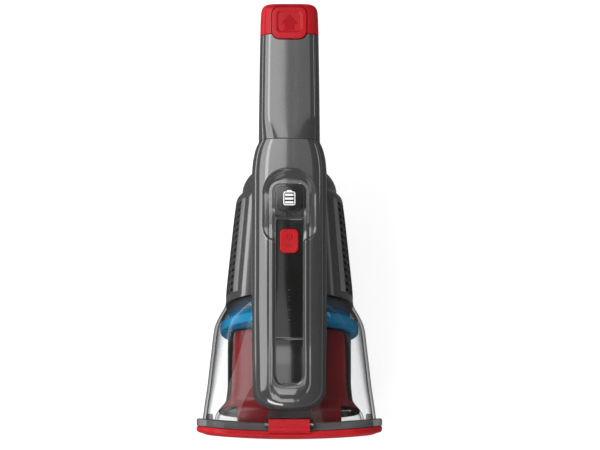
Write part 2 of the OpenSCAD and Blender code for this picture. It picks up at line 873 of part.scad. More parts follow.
module flap_pin() {
    color([0.7, 0.7, 0.72]) translate([-50, flap_y, flap_z]) rotate([0, 90, 0]) cylinder(r = 1, h = 100, $fn = 24);
}

module inlet_flap() {
    color([0.05, 0.05, 0.05]) difference() {
        union() {
            translate([-38, flap_y, flap_z]) rotate([0, 90, 0]) cylinder(r = 2.1, h = 76, $fn = 32);
            translate([-38, flap_y - 0.8, 30.5]) cube([76, 1.6, flap_z - 30.5]);
        }
        translate([-60, flap_y, flap_z]) rotate([0, 90, 0]) cylinder(r = 1.05, h = 120, $fn = 24);
    }
}

module hinge_pin() {
    color([0.7, 0.7, 0.72]) translate([-34, hinge_y, hinge_z]) rotate([0, 90, 0]) cylinder(r = 1.5, h = 68, $fn = 32);
}

module latch_pin() {
    color([0.7, 0.7, 0.72]) translate([-19.6, latch_y, latch_z]) rotate([0, 90, 0])
        cylinder(r = 1, h = 39.2, $fn = 32);
}

module nose_door() {
    color([0.66, 0.1, 0.14]) difference() {
        union() {
            difference() {
                intersection() {
                    door_prism();
                    mouth_cut(0);
                }
                mouth_cut(door_t);
            }
            door_knuckle(27.6);
        }
        mouth_prism(56.5, 25.5, 60.5, 15);
        translate([-60, hinge_y, hinge_z]) rotate([0, 90, 0]) cylinder(r = 1.55, h = 120, $fn = 32);
    }
}

module door_knuckle(half) {
    translate([-half, hinge_y, hinge_z]) rotate([0, 90, 0]) cylinder(r = 3, h = 2 * half, $fn = 32);
    translate([-half, hinge_y - 3, hinge_z]) cube([2 * half, 3.4, 5]);
}

module door_seal() {
    color([0.08, 0.08, 0.08]) intersection() {
        difference() {
            mouth_prism(65, 16.4, 76.6, 25);
            mouth_prism(63, 18.4, 74.6, 23);
            mouth_cut(door_t + 2);
        }
        mouth_cut(door_t);
    }
}

// Red tab that rocks on its pin; its front lip lies over the door's top edge
module door_latch() {
    color([0.7, 0.1, 0.14]) difference() {
        union() {
            bar(latch_y, latch_z, 2.3);
            hull() {
                bar(-163.6, 87.9, 0.9);
                bar(-170, 88.4, 1.2);
            }
            hull() {
                bar(-170, 88.4, 1.2);
                bar(-176.6, 85.7, 0.9);
            }
        }
        translate([-25, latch_y, latch_z]) rotate([0, 90, 0]) cylinder(r = 1.05, h = 50, $fn = 32);
    }
}

// Round bar across the latch
module bar(y, z, r) {
    translate([-16.7, y, z]) rotate([0, 90, 0]) cylinder(r = r, h = 33.4, $fn = 32);
}

module latch_spring() {
    color([0.7, 0.7, 0.72]) for (s = [-1, 1]) coil(0.85, 0.18, 84.35, 2.6, 3, s * 11, -163.55);
}

placed() spine_cover();
placed() grip_upper();
placed() grip_lower();
placed() motor_housing_left();
placed() motor_housing_right();
placed() vent_cover_left();
placed() vent_cover_right();
placed() belly_keel();
placed() charge_contacts();
placed() feet();
placed() display_bezel();
placed() display_window();
placed() display_icon();
placed() inlay_panel();
placed() control_board();
placed() power_switch();
placed() motor_can();
placed() motor_magnets();
placed() bearing_front();
placed() bearing_rear();
placed() motor_mount();
placed() fan_shroud();
placed() cell_left();
placed() cell_right();
placed() cell_top();
placed() cell_spacer_front();
placed() cell_spacer_rear();
placed() cell_links();
placed() motor_leads();
placed() housing_screws();
placed() grip_screws();
placed() power_button();
placed() power_spring();
placed() release_button();
placed() release_spring();
placed() tail_cap();
placed() cap_tongue();
placed() tongue_spring();
placed() motor_shaft();
placed() motor_rotor();
placed() impeller();
placed() dust_bowl();
placed() bowl_seal();
placed() filter_frame();
placed() filter_pleats();
placed() prefilter_mesh();
placed() duct_top();
placed() duct_base();
placed() hinge_pin();
placed() latch_pin();
placed() flap_pin();
placed() inlet_flap();
placed() nose_door();
placed() door_seal();
placed() door_latch();
placed() latch_spring();
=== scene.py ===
"""Handheld vacuum on its belly: mouth towards -Y, tail towards +Y, grip side up."""
import json
import math

import bmesh
import bpy
import numpy as np
from mathutils import Matrix, Vector


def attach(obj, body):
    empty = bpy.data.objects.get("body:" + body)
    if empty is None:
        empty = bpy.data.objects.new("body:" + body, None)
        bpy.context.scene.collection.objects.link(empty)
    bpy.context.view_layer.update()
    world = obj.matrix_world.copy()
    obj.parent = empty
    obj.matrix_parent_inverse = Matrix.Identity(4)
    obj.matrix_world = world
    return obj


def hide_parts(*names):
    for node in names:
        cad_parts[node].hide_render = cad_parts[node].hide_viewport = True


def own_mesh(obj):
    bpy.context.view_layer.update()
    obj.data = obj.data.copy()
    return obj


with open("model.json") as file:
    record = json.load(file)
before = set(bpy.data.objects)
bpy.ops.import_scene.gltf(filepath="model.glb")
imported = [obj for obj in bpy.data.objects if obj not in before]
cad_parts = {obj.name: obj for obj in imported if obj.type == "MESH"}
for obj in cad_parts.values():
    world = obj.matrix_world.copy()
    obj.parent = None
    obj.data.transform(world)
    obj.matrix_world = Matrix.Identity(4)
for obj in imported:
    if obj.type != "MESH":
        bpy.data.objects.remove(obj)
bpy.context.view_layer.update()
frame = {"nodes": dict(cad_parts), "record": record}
NODES = frame["nodes"]
SCENE = bpy.context.scene

MM = 0.001
Y_SHIFT = 2.0

# Key places in millimetres, in the same unshifted frame as the design
AXIS_Z = 62.0
HOUSING_FRONT_Y = -64.0
GRIP_Z = AXIS_Z + 47.5
TOP_Z = AXIS_Z + 69.0
SPLIT_Z = AXIS_Z + 47.0
SEAM_Y = 59.0
CAP_Y = 146.6
TONGUE_Y = 156.2
TAIL_Y = 173.0
SHELL = 2.4
MERGE = 0.02
SPINE_UP, SPINE_DOWN = 19, 27
TAIL_HALF = 21.5
BOWL_REAR_Y, BOWL_FRONT_Y = -64.4, -171.0
DUCT_REAR_Y, DUCT_FRONT_Y = -88, -166
HOUSING_R = 52.0
POWER_KEY, POWER_HOLE, POWER_HOLE_R = (15.2, 20), (16, 20.8), 4.4
MOUTH_Y, MOUTH_Z, MOUTH_R, MOUTH_RAKE = -168.7, 45.0, 700.0, math.radians(12)
DOOR_T = 5.0
DOOR_HALF, DOOR_R, DOOR_Z = (75, 37.5), 27, 46.5
SLOT_HALF, SLOT_R, SLOT_Z = (56.5, 17.5), 15, 43
POWER_Y = -26.0
CHANNEL_END_Y = -137.3
BREAK_Y = -104.2
INLAY_HALF = 11.3
END_RADIUS = 6.8

SPINE = [(-155.2, 9, 91), (-154.5, 17, 92.6), (-153, 22.6, 94.4), (-150.5, 26.4, 96.4),
         (-147, 28.8, 98.8), (-142, 30.2, 101.8), (-130, 30.3, 108.4), (-115, 30.3, 116.2),
         (-99, 30.3, 123.2), (-88, 30.3, 127.2), (-78, 30.3, 129.6), (-66, 30.3, 130.8),
         (-50, 30.3, 131), (30, 30.3, 131), (42, 29.6, 131), (48, 28.6, 131),
         (53, 27.4, 131), (56, 26.2, 131), (59, 24.8, 131)]
TAIL = [(59, 24.8), (100, 24.4), (144.7, 23.8), (160, 23.5), (168, 23), (171.4, 22), (173, 20)]
GRIP_LOWER = [(30, 29, 58), (38, 27.5, 63), (46, 26.2, 70), (54, 25.2, 77.5), (62, 24.8, 83),
              (72, 24.6, 86.8), (84, 24.5, 88), (100, 24.4, 88), (144.7, 23.8, 88)]
BOWL = [(-64.4, 52.3, 114.3, 9.7, 2), (-68, 53.8, 116.6, 7.2, 2), (-72, 56.2, 118.8, 5, 2),
        (-76, 58.2, 120.4, 3.6, 2), (-80, 60, 121.2, 2.8, 2.02), (-84, 61.1, 121.2, 2.4, 2.05),
        (-90, 62, 119.8, 2.4, 2.1), (-99, 63, 116.2, 2.6, 2.2), (-115, 64.9, 108.6, 3.6, 2.4),
        (-130, 66.6, 100, 5.4, 2.7), (-146, 69, 91, 8, 3.1), (-160, 70.8, 85.2, 10, 3.3),
        (-178, 73, 78, 12.6, 3.4)]
DUCT = [(-178, 59, 61, 24), (-166, 58, 63.5, 23.5), (-155, 54.4, 67, 23), (-140, 51.4, 72.5, 23.5),
        (-125, 50, 78.5, 25), (-108, 50, 84.5, 28), (-93, 50, 88.5, 31), (-88, 49.4, 89, 32)]


# ---------------- curves and rings

def monotone(xs, ys):
    """Smooth curve through the points of a table, without overshoot."""
    xs, ys = np.array(xs, float), np.array(ys, float)
    order = np.argsort(xs)
    xs, ys = xs[order], ys[order]
    step = np.diff(xs)
    slope = np.diff(ys) / step
    grad = np.zeros(len(xs))
    same = slope[:-1] * slope[1:] > 0
    both = np.where(same, slope[:-1] + slope[1:], 1)
    grad[1:-1] = np.where(same, 2 * slope[:-1] * slope[1:] / both, 0)
    grad[0], grad[-1] = slope[0], slope[-1]

    def at(x):
        x = np.clip(np.asarray(x, float), xs[0], xs[-1])
        i = np.clip(np.searchsorted(xs, x) - 1, 0, len(xs) - 2)
        t = (x - xs[i]) / step[i]
        return ((2 * t ** 3 - 3 * t ** 2 + 1) * ys[i] + (t ** 3 - 2 * t ** 2 + t) * step[i] * grad[i]
                + (3 * t ** 2 - 2 * t ** 3) * ys[i + 1] + (t ** 3 - t ** 2) * step[i] * grad[i + 1])
    return at


def columns(table):
    rows = np.array(table, float)
    return [monotone(rows[:, 0], rows[:, k]) for k in range(1, rows.shape[1])]


SPINE_W, SPINE_TOP = columns(SPINE)
TAIL_W, = columns(TAIL)
LOWER_W, LOWER_BOTTOM = columns(GRIP_LOWER)
BOWL_W, BOWL_TOP, BOWL_BOTTOM, BOWL_N = columns(BOWL)
DUCT_W, DUCT_TOP, DUCT_BOTTOM = columns(DUCT)


def even_angles(exponent, aspect, quarter):
    """Ring parameters spaced by both length and turn along a rounded section."""
    t = np.linspace(0, math.pi / 2, 4001)
    x, z = aspect * np.cos(t) ** (2 / exponent), np.sin(t) ** (2 / exponent)
    dx, dz = np.diff(x), np.diff(z)
    length = np.hypot(dx, dz)
    turn = np.abs(np.diff(np.unwrap(np.arctan2(dz, dx)), prepend=math.pi / 2))
    measure = np.concatenate([[0], np.cumsum(length / length.sum() + turn / turn.sum())])
    q = np.interp(np.linspace(0, measure[-1], quarter + 1), measure, t)
    return np.concatenate([q[:-1], math.pi - q[:0:-1], math.pi + q[:-1], 2 * math.pi - q[:0:-1]])


def rounded_ring(angles, w, z_mid, up, down, exponent):
    c, s = np.cos(angles), np.sin(angles)
    c, s = np.where(np.abs(c) < 1e-9, 0, c), np.where(np.abs(s) < 1e-9, 0, s)
    x = w * np.sign(c) * np.abs(c) ** (2 / exponent)
    z = z_mid + np.where(s > 0, up, down) * np.sign(s) * np.abs(s) ** (2 / exponent)
    return x, z


def ring_at(section, y):
    """Points of an (x, z) section at y, which is one place or a place for each point."""
    x, z = section
    return np.stack([x, np.broadcast_to(y, x.shape), z], axis=1)


def drawn_in(section, share):
    """A section of the tail shrunk towards the grip's axis."""
    x, z = section
    return x * share, GRIP_Z + (z - GRIP_Z) * share


def rounded_end(y, radius, towards):
    """(place, inset) pairs that round off an end which lies at y and faces `towards` (+1 or -1)."""
    out = []
    for a in np.linspace(math.pi / 2, 0, 4):
        out.append((y - towards * radius * (1 - math.sin(a)), radius * (1 - math.cos(a))))
    return out


def rounded_rect(hx, hz, r, cz=0.0):
    """Points of a rounded rectangle, in the same order and number whatever its size."""
    r = max(r, 0.01)
    corners = [(hx - r, hz - r, 0), (-hx + r, hz - r, 90), (-hx + r, -hz + r, 180), (hx - r, -hz + r, 270)]

    def at(corner, turn):
        x, z, start = corner
        a = math.radians(start + turn)
        return np.array([x + r * math.cos(a), z + r * math.sin(a)])

    pts = []
    for k, corner in enumerate(corners):
        pts += [at(corner, 7.5 * i) for i in range(13)]
        last, end = pts[-1], at(corners[(k + 1) % 4], 0)
        pts += [last + (end - last) * i / 14 for i in range(1, 14)]
    x, z = np.array(pts).T
    return x, z + cz


def rounded_box_distance(x, y, cx, cy, hx, hy, r):
    """Signed distance to a rounded rectangle: negative inside."""
    qx, qy = np.abs(x - cx) - hx + r, np.abs(y - cy) - hy + r
    return np.hypot(np.maximum(qx, 0), np.maximum(qy, 0)) + np.minimum(np.maximum(qx, qy), 0) - r


def smooth(t):
    t = np.clip(t, 0, 1)
    return t * t * (3 - 2 * t)


def bump(t):
    """Rounded hump of height one between -1 and 1."""
    return np.where(np.abs(t) < 1, np.cos(np.clip(t, -1, 1) * math.pi / 2) ** 2, 0)


# ---------------- mesh building

def new_object(name, data):
    obj = bpy.data.objects.new(name, data)
    SCENE.collection.objects.link(obj)
    return obj


def make(name, verts, faces):
    mesh = bpy.data.meshes.new(name)
    pts = np.array(verts, float) + np.array([0, Y_SHIFT, 0])
    mesh.from_pydata((pts * MM).tolist(), [], faces)
    mesh.validate()
    bm = bmesh.new()
    bm.from_mesh(mesh)
    bmesh.ops.recalc_face_normals(bm, faces=bm.faces)
    bm.to_mesh(mesh)
    bm.free()
    return new_object(name, mesh)


def loft(name, rings, closed=False):
    """A solid through rings of equal size; closed joins the last ring to the first."""
    rings = np.array(rings, float)
    k, n, _ = rings.shape
    faces = []
    for a in range(k if closed else k - 1):
        b = (a + 1) % k
        for i in range(n):
            j = (i + 1) % n
            faces.append((a * n + i, a * n + j, b * n + j, b * n + i))
    if not closed:
        faces.append(tuple(range(n - 1, -1, -1)))
        faces.append(tuple((k - 1) * n + i for i in range(n)))
    return make(name, rings.reshape(-1, 3), faces)


def bake(obj):
    graph = bpy.context.evaluated_depsgraph_get()
    mesh = bpy.data.meshes.new_from_object(obj.evaluated_get(graph))
    old = obj.data
    obj.modifiers.clear()
    obj.data = mesh
    bpy.data.meshes.remove(old)


def boolean(obj, *cutters, operation="DIFFERENCE"):
    for c in cutters:
        mod = obj.modifiers.new("cut", "BOOLEAN")
        mod.operation, mod.solver, mod.object = operation, "EXACT", c
    bake(obj)
    for c in cutters:
        bpy.data.objects.remove(c)


def finish_shape(obj, bevel, angle):
    """Cleans a mesh, rounds its hard edges, and shades it smoothly."""
    bm = bmesh.new()
    bm.from_mesh(obj.data)
    bmesh.ops.remove_doubles(bm, verts=bm.verts, dist=MERGE * MM)
    bmesh.ops.dissolve_degenerate(bm, edges=bm.edges, dist=MERGE * MM * 0.5)
    bm.to_mesh(obj.data)
    bm.free()
    if bevel:
        mod = obj.modifiers.new("round", "BEVEL")
        mod.width, mod.segments, mod.limit_method = bevel * MM, 2, "ANGLE"
        mod.angle_limit, mod.use_clamp_overlap = math.radians(angle), False
        mod.miter_outer = "MITER_ARC"
        bake(obj)
    obj.data.shade_smooth()
    obj.data.set_sharp_from_angle(angle=math.radians(50 if bevel else angle))
    mod = obj.modifiers.new("normals", "WEIGHTED_NORMAL")
    mod.keep_sharp = True


def block(name, x0, x1, outline):
    """Prism along X over an outline of (y, z) points."""
    return loft(name, [np.array([(x, y, z) for y, z in outline]) for x in (x0, x1)])


def box(x0, x1, y0, y1, z0, z1):
    return block("cutter", x0, x1, [(y0, z0), (y0, z1), (y1, z1), (y1, z0)])


def upright(size, r, cy, z0, z1, cx=0.0, name="cutter"):
    """Prism with a rounded plan."""
    x, y = rounded_rect(size[0] / 2, size[1] / 2, r)
    return loft(name, [np.stack([x + cx, y + cy, np.full_like(x, z)], 1) for z in (z0, z1)])


def pad(name, half_width, y0, y1, top, bottom, distance, rim, across=41, along=60):
    """A pad with a rounded rim, laid on the surface top(x, y) inside an outline symmetric in x."""
    u = np.sin(np.linspace(-1, 1, across) * math.pi / 2)
    ys = y0 + (y1 - y0) * (1 - np.cos(np.linspace(0, math.pi, along))) / 2
    extra = np.arange(y0 + 3, y1 - 3, 2.0)
    ys = np.unique(np.concatenate([ys, extra]))
    keep = np.concatenate([[True], np.diff(ys) > 0.03])
    ys = ys[keep]
    rings = []
    for y in ys:
        w = max(half_width(y), 0.05)
        x = u * w
        inside = np.clip(-distance(x, y), 0, rim)
        z = top(x, y) - (rim - np.sqrt(np.maximum(rim ** 2 - (rim - inside) ** 2, 0)))
        under = bottom(x, y) if callable(bottom) else np.full_like(x, bottom)
        rings.append(np.concatenate([ring_at((x, z), y), ring_at((x, under), y)[::-1]]))
    return loft(name, rings)


def rect_pad(name, size, r, cy, top, bottom, rim, **kw):
    hx, hy = size[0] / 2, size[1] / 2

    def half_width(y):
        over = abs(y - cy) - (hy - r)
        return hx if over <= 0 else hx - r + math.sqrt(max(r * r - over * over, 0))

    def distance(x, y):
        return rounded_box_distance(x, y, 0, cy, hx, hy, r)
    return pad(name, half_width, cy - hy, cy + hy, top, bottom, distance, rim, **kw)


def frame_ring(name, size, r, cy, width, top, bottom, rim):
    """A raised frame that follows a rounded rectangle on a surface."""
    rings = []
    half = width / 2
    profile = [(half, None), (half, rim)]
    for a in (60, 30, 0):
        fall = rim * (1 - math.cos(math.radians(a)))
        profile.append((half - fall, fall))
    profile += [(-o, d) for o, d in profile[::-1]]
    for offset, drop in profile:
        x, y = rounded_rect(size[0] / 2 + offset - half, size[1] / 2 + offset - half, r + offset - half, cy)
        z = np.full_like(x, bottom) if drop is None else top(x, y) - drop
        rings.append(np.stack([x, y, z], 1))
    return loft(name, rings, closed=True)


def tube(name, points, radius, sides=10):
    """Round wire through points."""
    pts = np.array(points, float)
    tangent = np.gradient(pts, axis=0)
    tangent /= np.linalg.norm(tangent, axis=1)[:, None]
    up = np.array([0, 0, 1.0])
    if np.abs(tangent @ up).max() > 0.95:
        up = np.array([1.0, 0.02, 0])
    u = np.cross(tangent, up)
    u /= np.linalg.norm(u, axis=1)[:, None]
    v = np.cross(u, tangent)
    a = np.linspace(0, 2 * math.pi, sides, endpoint=False)
    rings = [p + radius * (np.cos(a)[:, None] * uu + np.sin(a)[:, None] * vv)
             for p, uu, vv in zip(pts, u, v)]
    return loft(name, rings)


def join(name, *parts):
    """One object out of several."""
    bm = bmesh.new()
    for p in parts:
        bm.from_mesh(p.data)
    mesh = bpy.data.meshes.new(name)
    bm.to_mesh(mesh)
    bm.free()
    for p in parts:
        bpy.data.objects.remove(p)
    return new_object(name, mesh)


# ---------------- materials

def add(tree, kind, inputs=None, **settings):
    """A shader node with its settings, and with each input linked to a socket or set to a value."""
    node = tree.nodes.new("ShaderNode" + kind)
    for name, value in settings.items():
        setattr(node, name, value)
    for name, value in (inputs or {}).items():
        if isinstance(value, bpy.types.NodeSocket):
            tree.links.new(value, node.inputs[name])
        else:
            node.inputs[name].default_value = value
    return node


def shader(name):
    """A new material, its nodes, its output and the coordinates of its textures."""
    mat = bpy.data.materials.new(name)
    mat.use_nodes = True
    tree = mat.node_tree
    tree.nodes.clear()
    return mat, tree, add(tree, "OutputMaterial"), add(tree, "TexCoord").outputs["Object"]


def noise(tree, place, scale, detail, rough=0.5):
    node = add(tree, "TexNoise", {"Scale": scale, "Detail": detail, "Roughness": rough, "Vector": place})
    return node.outputs["Fac"]


def ramp(tree, source, low, high, a, b):
    """Maps source between low and high onto colours or greys a to b."""
    node = add(tree, "ValToRGB", {"Fac": source})
    for element, pos, col in zip(node.color_ramp.elements, (low, high), (a, b)):
        element.position = pos
        element.color = (*col, 1) if hasattr(col, "__len__") else (col, col, col, 1)
    return node.outputs["Color"]


def relief_of(tree, height, strength, distance):
    node = add(tree, "Bump", {"Strength": strength, "Distance": distance, "Height": height})
    return node.outputs["Normal"]


def combined(tree, operation, a, b):
    return add(tree, "Math", {0: a, 1: b}, operation=operation).outputs["Value"]


def blend(tree, share, a, b):
    """Turns the colour a towards the plain colour b."""
    node = add(tree, "Mix", {"Factor": share, "A": a, "B": (*b, 1)}, data_type="RGBA")
    return node.outputs["Result"]


def blend_shaders(tree, share, a, b):
    return add(tree, "MixShader", {"Fac": share, 1: a, 2: b}).outputs["Shader"]


def tint(colour, k):
    return tuple(min(1.0, c * k) for c in colour)


def moulded(name, colour, roughness, vary=0.08, grain=2200, relief=0.00002, worn=1.25, coat=0.0,
            metallic=0.0, specular=0.5, flake=0.0):
    """Moulded plastic or metal: cloudy colour, uneven gloss, fine relief, and edges rubbed lighter."""
    mat, tree, out, place = shader(name)
    cloud = noise(tree, place, 45, 4)
    body = ramp(tree, cloud, 0.3, 0.7, tint(colour, 1 - vary), tint(colour, 1 + vary))
    if flake:
        speck = add(tree, "TexVoronoi", {"Scale": 2600, "Vector": place}).outputs["Color"]
        body = blend(tree, ramp(tree, speck, 0.55, 0.95, 0.0, 1.0), body, tint(colour, 1 + flake))
    edge = ramp(tree, add(tree, "NewGeometry").outputs["Pointiness"], 0.53, 0.62, 0.0, 1.0)
    scuff = ramp(tree, noise(tree, place, 300, 5), 0.4, 0.65, 0.0, 1.0)
    haze = noise(tree, place, 120, 4, 0.6)
    bsdf = add(tree, "BsdfPrincipled", {
        "Base Color": blend(tree, combined(tree, "MULTIPLY", edge, scuff), body, tint(colour, worn)),
        "Roughness": ramp(tree, haze, 0.3, 0.75, roughness * 0.85, roughness * 1.2),
        "Normal": relief_of(tree, noise(tree, place, grain, 2), 0.25, relief),
        "Metallic": metallic, "Specular IOR Level": specular,
        "Coat Weight": coat, "Coat Roughness": 0.04})
    tree.links.new(bsdf.outputs["BSDF"], out.inputs["Surface"])
    return mat


CLEAR_ROUGHNESS, CLEAR_IOR = 0.03, 1.38


def clear_plastic(name, face, edge, cloudy=0.0, turn=(0.62, 0.97)):
    """Clear plastic with a gloss outside, from face colour to edge colour as its wall turns away.

    cloudy is the share of plain grey mixed in, and turn the range of Layer Weight for the change.
    """
    mat, tree, out, place = shader(name)
    facing = add(tree, "LayerWeight", {"Blend": 0.5}).outputs["Facing"]
    through = add(tree, "BsdfTransparent", {"Color": ramp(tree, facing, *turn, face, edge)})
    haze = noise(tree, place, 90, 4)
    gloss = add(tree, "BsdfGlossy", {
        "Roughness": ramp(tree, haze, 0.3, 0.7, CLEAR_ROUGHNESS * 0.7, CLEAR_ROUGHNESS * 1.6),
        "Normal": relief_of(tree, noise(tree, place, 500, 2), 0.15, 0.00003)})
    outside = combined(tree, "SUBTRACT", 1.0, add(tree, "NewGeometry").outputs["Backfacing"])
    fresnel = add(tree, "Fresnel", {"IOR": CLEAR_IOR}).outputs["Fac"]
    surface = blend_shaders(tree, combined(tree, "MULTIPLY", fresnel, outside),
                            through.outputs["BSDF"], gloss.outputs["BSDF"])
    if cloudy:
        grey = ramp(tree, haze, 0.3, 0.7, 0.15, 0.17)
        milk = add(tree, "BsdfDiffuse", {"Color": grey}).outputs["BSDF"]
        surface = blend_shaders(tree, cloudy, surface, milk)
    tree.links.new(surface, out.inputs["Surface"])
    return mat


LOOKS = {
    "grey_gloss": ((0.042, 0.042, 0.043), 0.12, dict(relief=0.000008, flake=0.4, coat=1.0)),
    "grey_dark": ((0.047, 0.047, 0.048), 0.12, dict(relief=0.000008, flake=0.4, coat=0.9)),
    "black_matte": ((0.026, 0.026, 0.027), 0.45, dict(relief=0.00006, grain=1500)),
    "black_gloss": ((0.0055, 0.0055, 0.0052), 0.08, dict(coat=0.3, worn=1.6)),
    "rim_grey": ((0.10, 0.10, 0.102), 0.16, dict(coat=1.0)),
    "icon_white": ((0.88, 0.88, 0.88), 0.35, dict(vary=0.02)),
    "red_gloss": ((0.44, 0.0085, 0.014), 0.30, dict(relief=0.000008, worn=1.1, specular=0.16)),
    "red_clear": ((0.17, 0.012, 0.015), 0.22, dict(worn=1.15, specular=0.3)),
    "blue_plastic": ((0.006, 0.19, 0.37), 0.3, dict(worn=1.2, specular=0.2)),
    "rubber": ((0.012, 0.012, 0.012), 0.6, dict(relief=0.00008, grain=900)),
    "paper": ((0.74, 0.72, 0.66), 0.8, dict(relief=0.00015, grain=700)),
    "steel": ((0.55, 0.55, 0.57), 0.25, dict(metallic=1.0, worn=1.1)),
    "zinc_can": ((0.5, 0.5, 0.52), 0.35, dict(metallic=1.0, worn=1.1)),
    "copper": ((0.55, 0.24, 0.1), 0.3, dict(metallic=1.0, relief=0.0002, grain=600)),
    "brass": ((0.72, 0.52, 0.22), 0.25, dict(metallic=1.0)),
    "cell_wrap": ((0.03, 0.16, 0.36), 0.22, {}),
    "board_green": ((0.015, 0.12, 0.05), 0.35, {}),
    "wire_sleeve": ((0.3, 0.015, 0.015), 0.4, {}),
    "white_plastic": ((0.7, 0.7, 0.66), 0.45, {}),
}
MATS = {slot: moulded(slot, colour, rough, **more) for slot, (colour, rough, more) in LOOKS.items()}
MATS["smoke_clear"] = clear_plastic("smoke_clear", (0.975, 0.978, 0.98), (0.36, 0.36, 0.365),
                                    turn=(0.5, 0.96))
SMOKE_DARK = clear_plastic("smoke_dark", (0.62, 0.62, 0.625), (0.16, 0.16, 0.162), cloudy=0.42)
# Pale clear plastic for the sides of the duct's mouth: its light edge colour is a painted reflection of a
# light box.
FLARE_PAINTED_REFLECTION = clear_plastic("flare_painted_reflection", (0.98, 0.975, 0.975), (0.62, 0.6, 0.6))
SEAT_CLEAR = clear_plastic("seat_clear", (0.74, 0.74, 0.745), (0.25, 0.25, 0.255), cloudy=0.12,
                           turn=(0.2, 0.9))
SLEEVE_SMOKE = clear_plastic("sleeve_smoke", (0.72, 0.73, 0.75), (0.3, 0.3, 0.31), cloudy=0.15)
# Lighter grey for the vents' borders: a painted highlight along the edge between the vents and the housing.
TRIM_PAINTED_HIGHLIGHT = moulded("trim_painted_highlight", (0.16, 0.16, 0.163), 0.2, worn=1.1)
ARROW_RED = moulded("arrow_red", (0.36, 0.003, 0.008), 0.3, worn=1.1, specular=0.1)


def place(obj, body, slot, *replaced, material=None, bevel=0.0, angle=38):
    """Finishes a visual piece, gives it the look of its slot or the material given, ties it to its body,
    and hides the nodes it replaces.
    """
    finish_shape(obj, bevel, angle)
    obj.data.materials.clear()
    obj.data.materials.append(material or MATS[slot])
    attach(obj, body)
    if replaced:
        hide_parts(*replaced)


for part in frame["record"]["subparts"]:
    mesh = NODES[part["node"]].data
    mesh.materials.clear()
    mesh.materials.append(MATS[part["material_slot"]])
    for poly in mesh.polygons:
        poly.material_index = 0

# ---------------- housing

DOME = [(38.5 * math.cos(math.radians(a)), 30 + 27 * math.sin(math.radians(a))) for a in range(0, 90, 5)]


def housing_profile(inset, end=0.0):
    """(radius, place) pairs from the front edge to the tip of the rear dome."""
    rows = [(HOUSING_R - inset, HOUSING_FRONT_Y - end)]
    rows += [(r - inset, y) for r, y in ((43.9, 20), (43.3, 23.5), (42.5, 25.4), (41.3, 26.9),
                                         (40.2, 27.9), (39.3, 28.9))]
    for k, (r, y) in enumerate(DOME):
        a = math.radians(5 * k)
        rows.append((max(r - inset * math.cos(a), 0.02), y - inset * math.sin(a)))
    rows.append((0.02, 57 - inset))
    return rows


def lathe_half(name, profile, side):
    """Half a turned shell about the motor axis; side is +1 for +X and -1 for -X."""
    angles = np.radians(np.linspace(-90, 90, 73))
    pts = np.array(profile)
    rings = []
    for a in angles:
        x = np.maximum(pts[:, 0] * math.cos(a), 0.06) * side
        rings.append(ring_at((x, AXIS_Z + pts[:, 0] * math.sin(a)), pts[:, 1]))
    return loft(name, rings)


def lathe(name, profile, steps=96):
    angles = np.linspace(0, 2 * math.pi, steps, endpoint=False)
    pts = np.array(profile)
    rings = [ring_at((pts[:, 0] * math.cos(a), AXIS_Z + pts[:, 0] * math.sin(a)), pts[:, 1])
             for a in angles]
    return loft(name, rings, closed=True)


def housing_solid(inset):
    rows = housing_profile(inset, 2.0)
    return lathe("cutter", [(0.02, rows[0][1])] + rows)


VENT_Y = (-58.0, 21.0)
VENT_TURN, BORDER_TURN = 28.5, 36.0


def vent_radius(y):
    """The barrel narrows by 9 mm over its 88 mm."""
    return HOUSING_R - (y - HOUSING_FRONT_Y) * 9 / 88


def vent_face(y):
    """Radius of the vent cover's outside, which is crowned along its length."""
    v = (y - VENT_Y[0]) / (VENT_Y[1] - VENT_Y[0])
    return vent_radius(y) + 0.75 - 0.5 * (2 * v - 1) ** 8


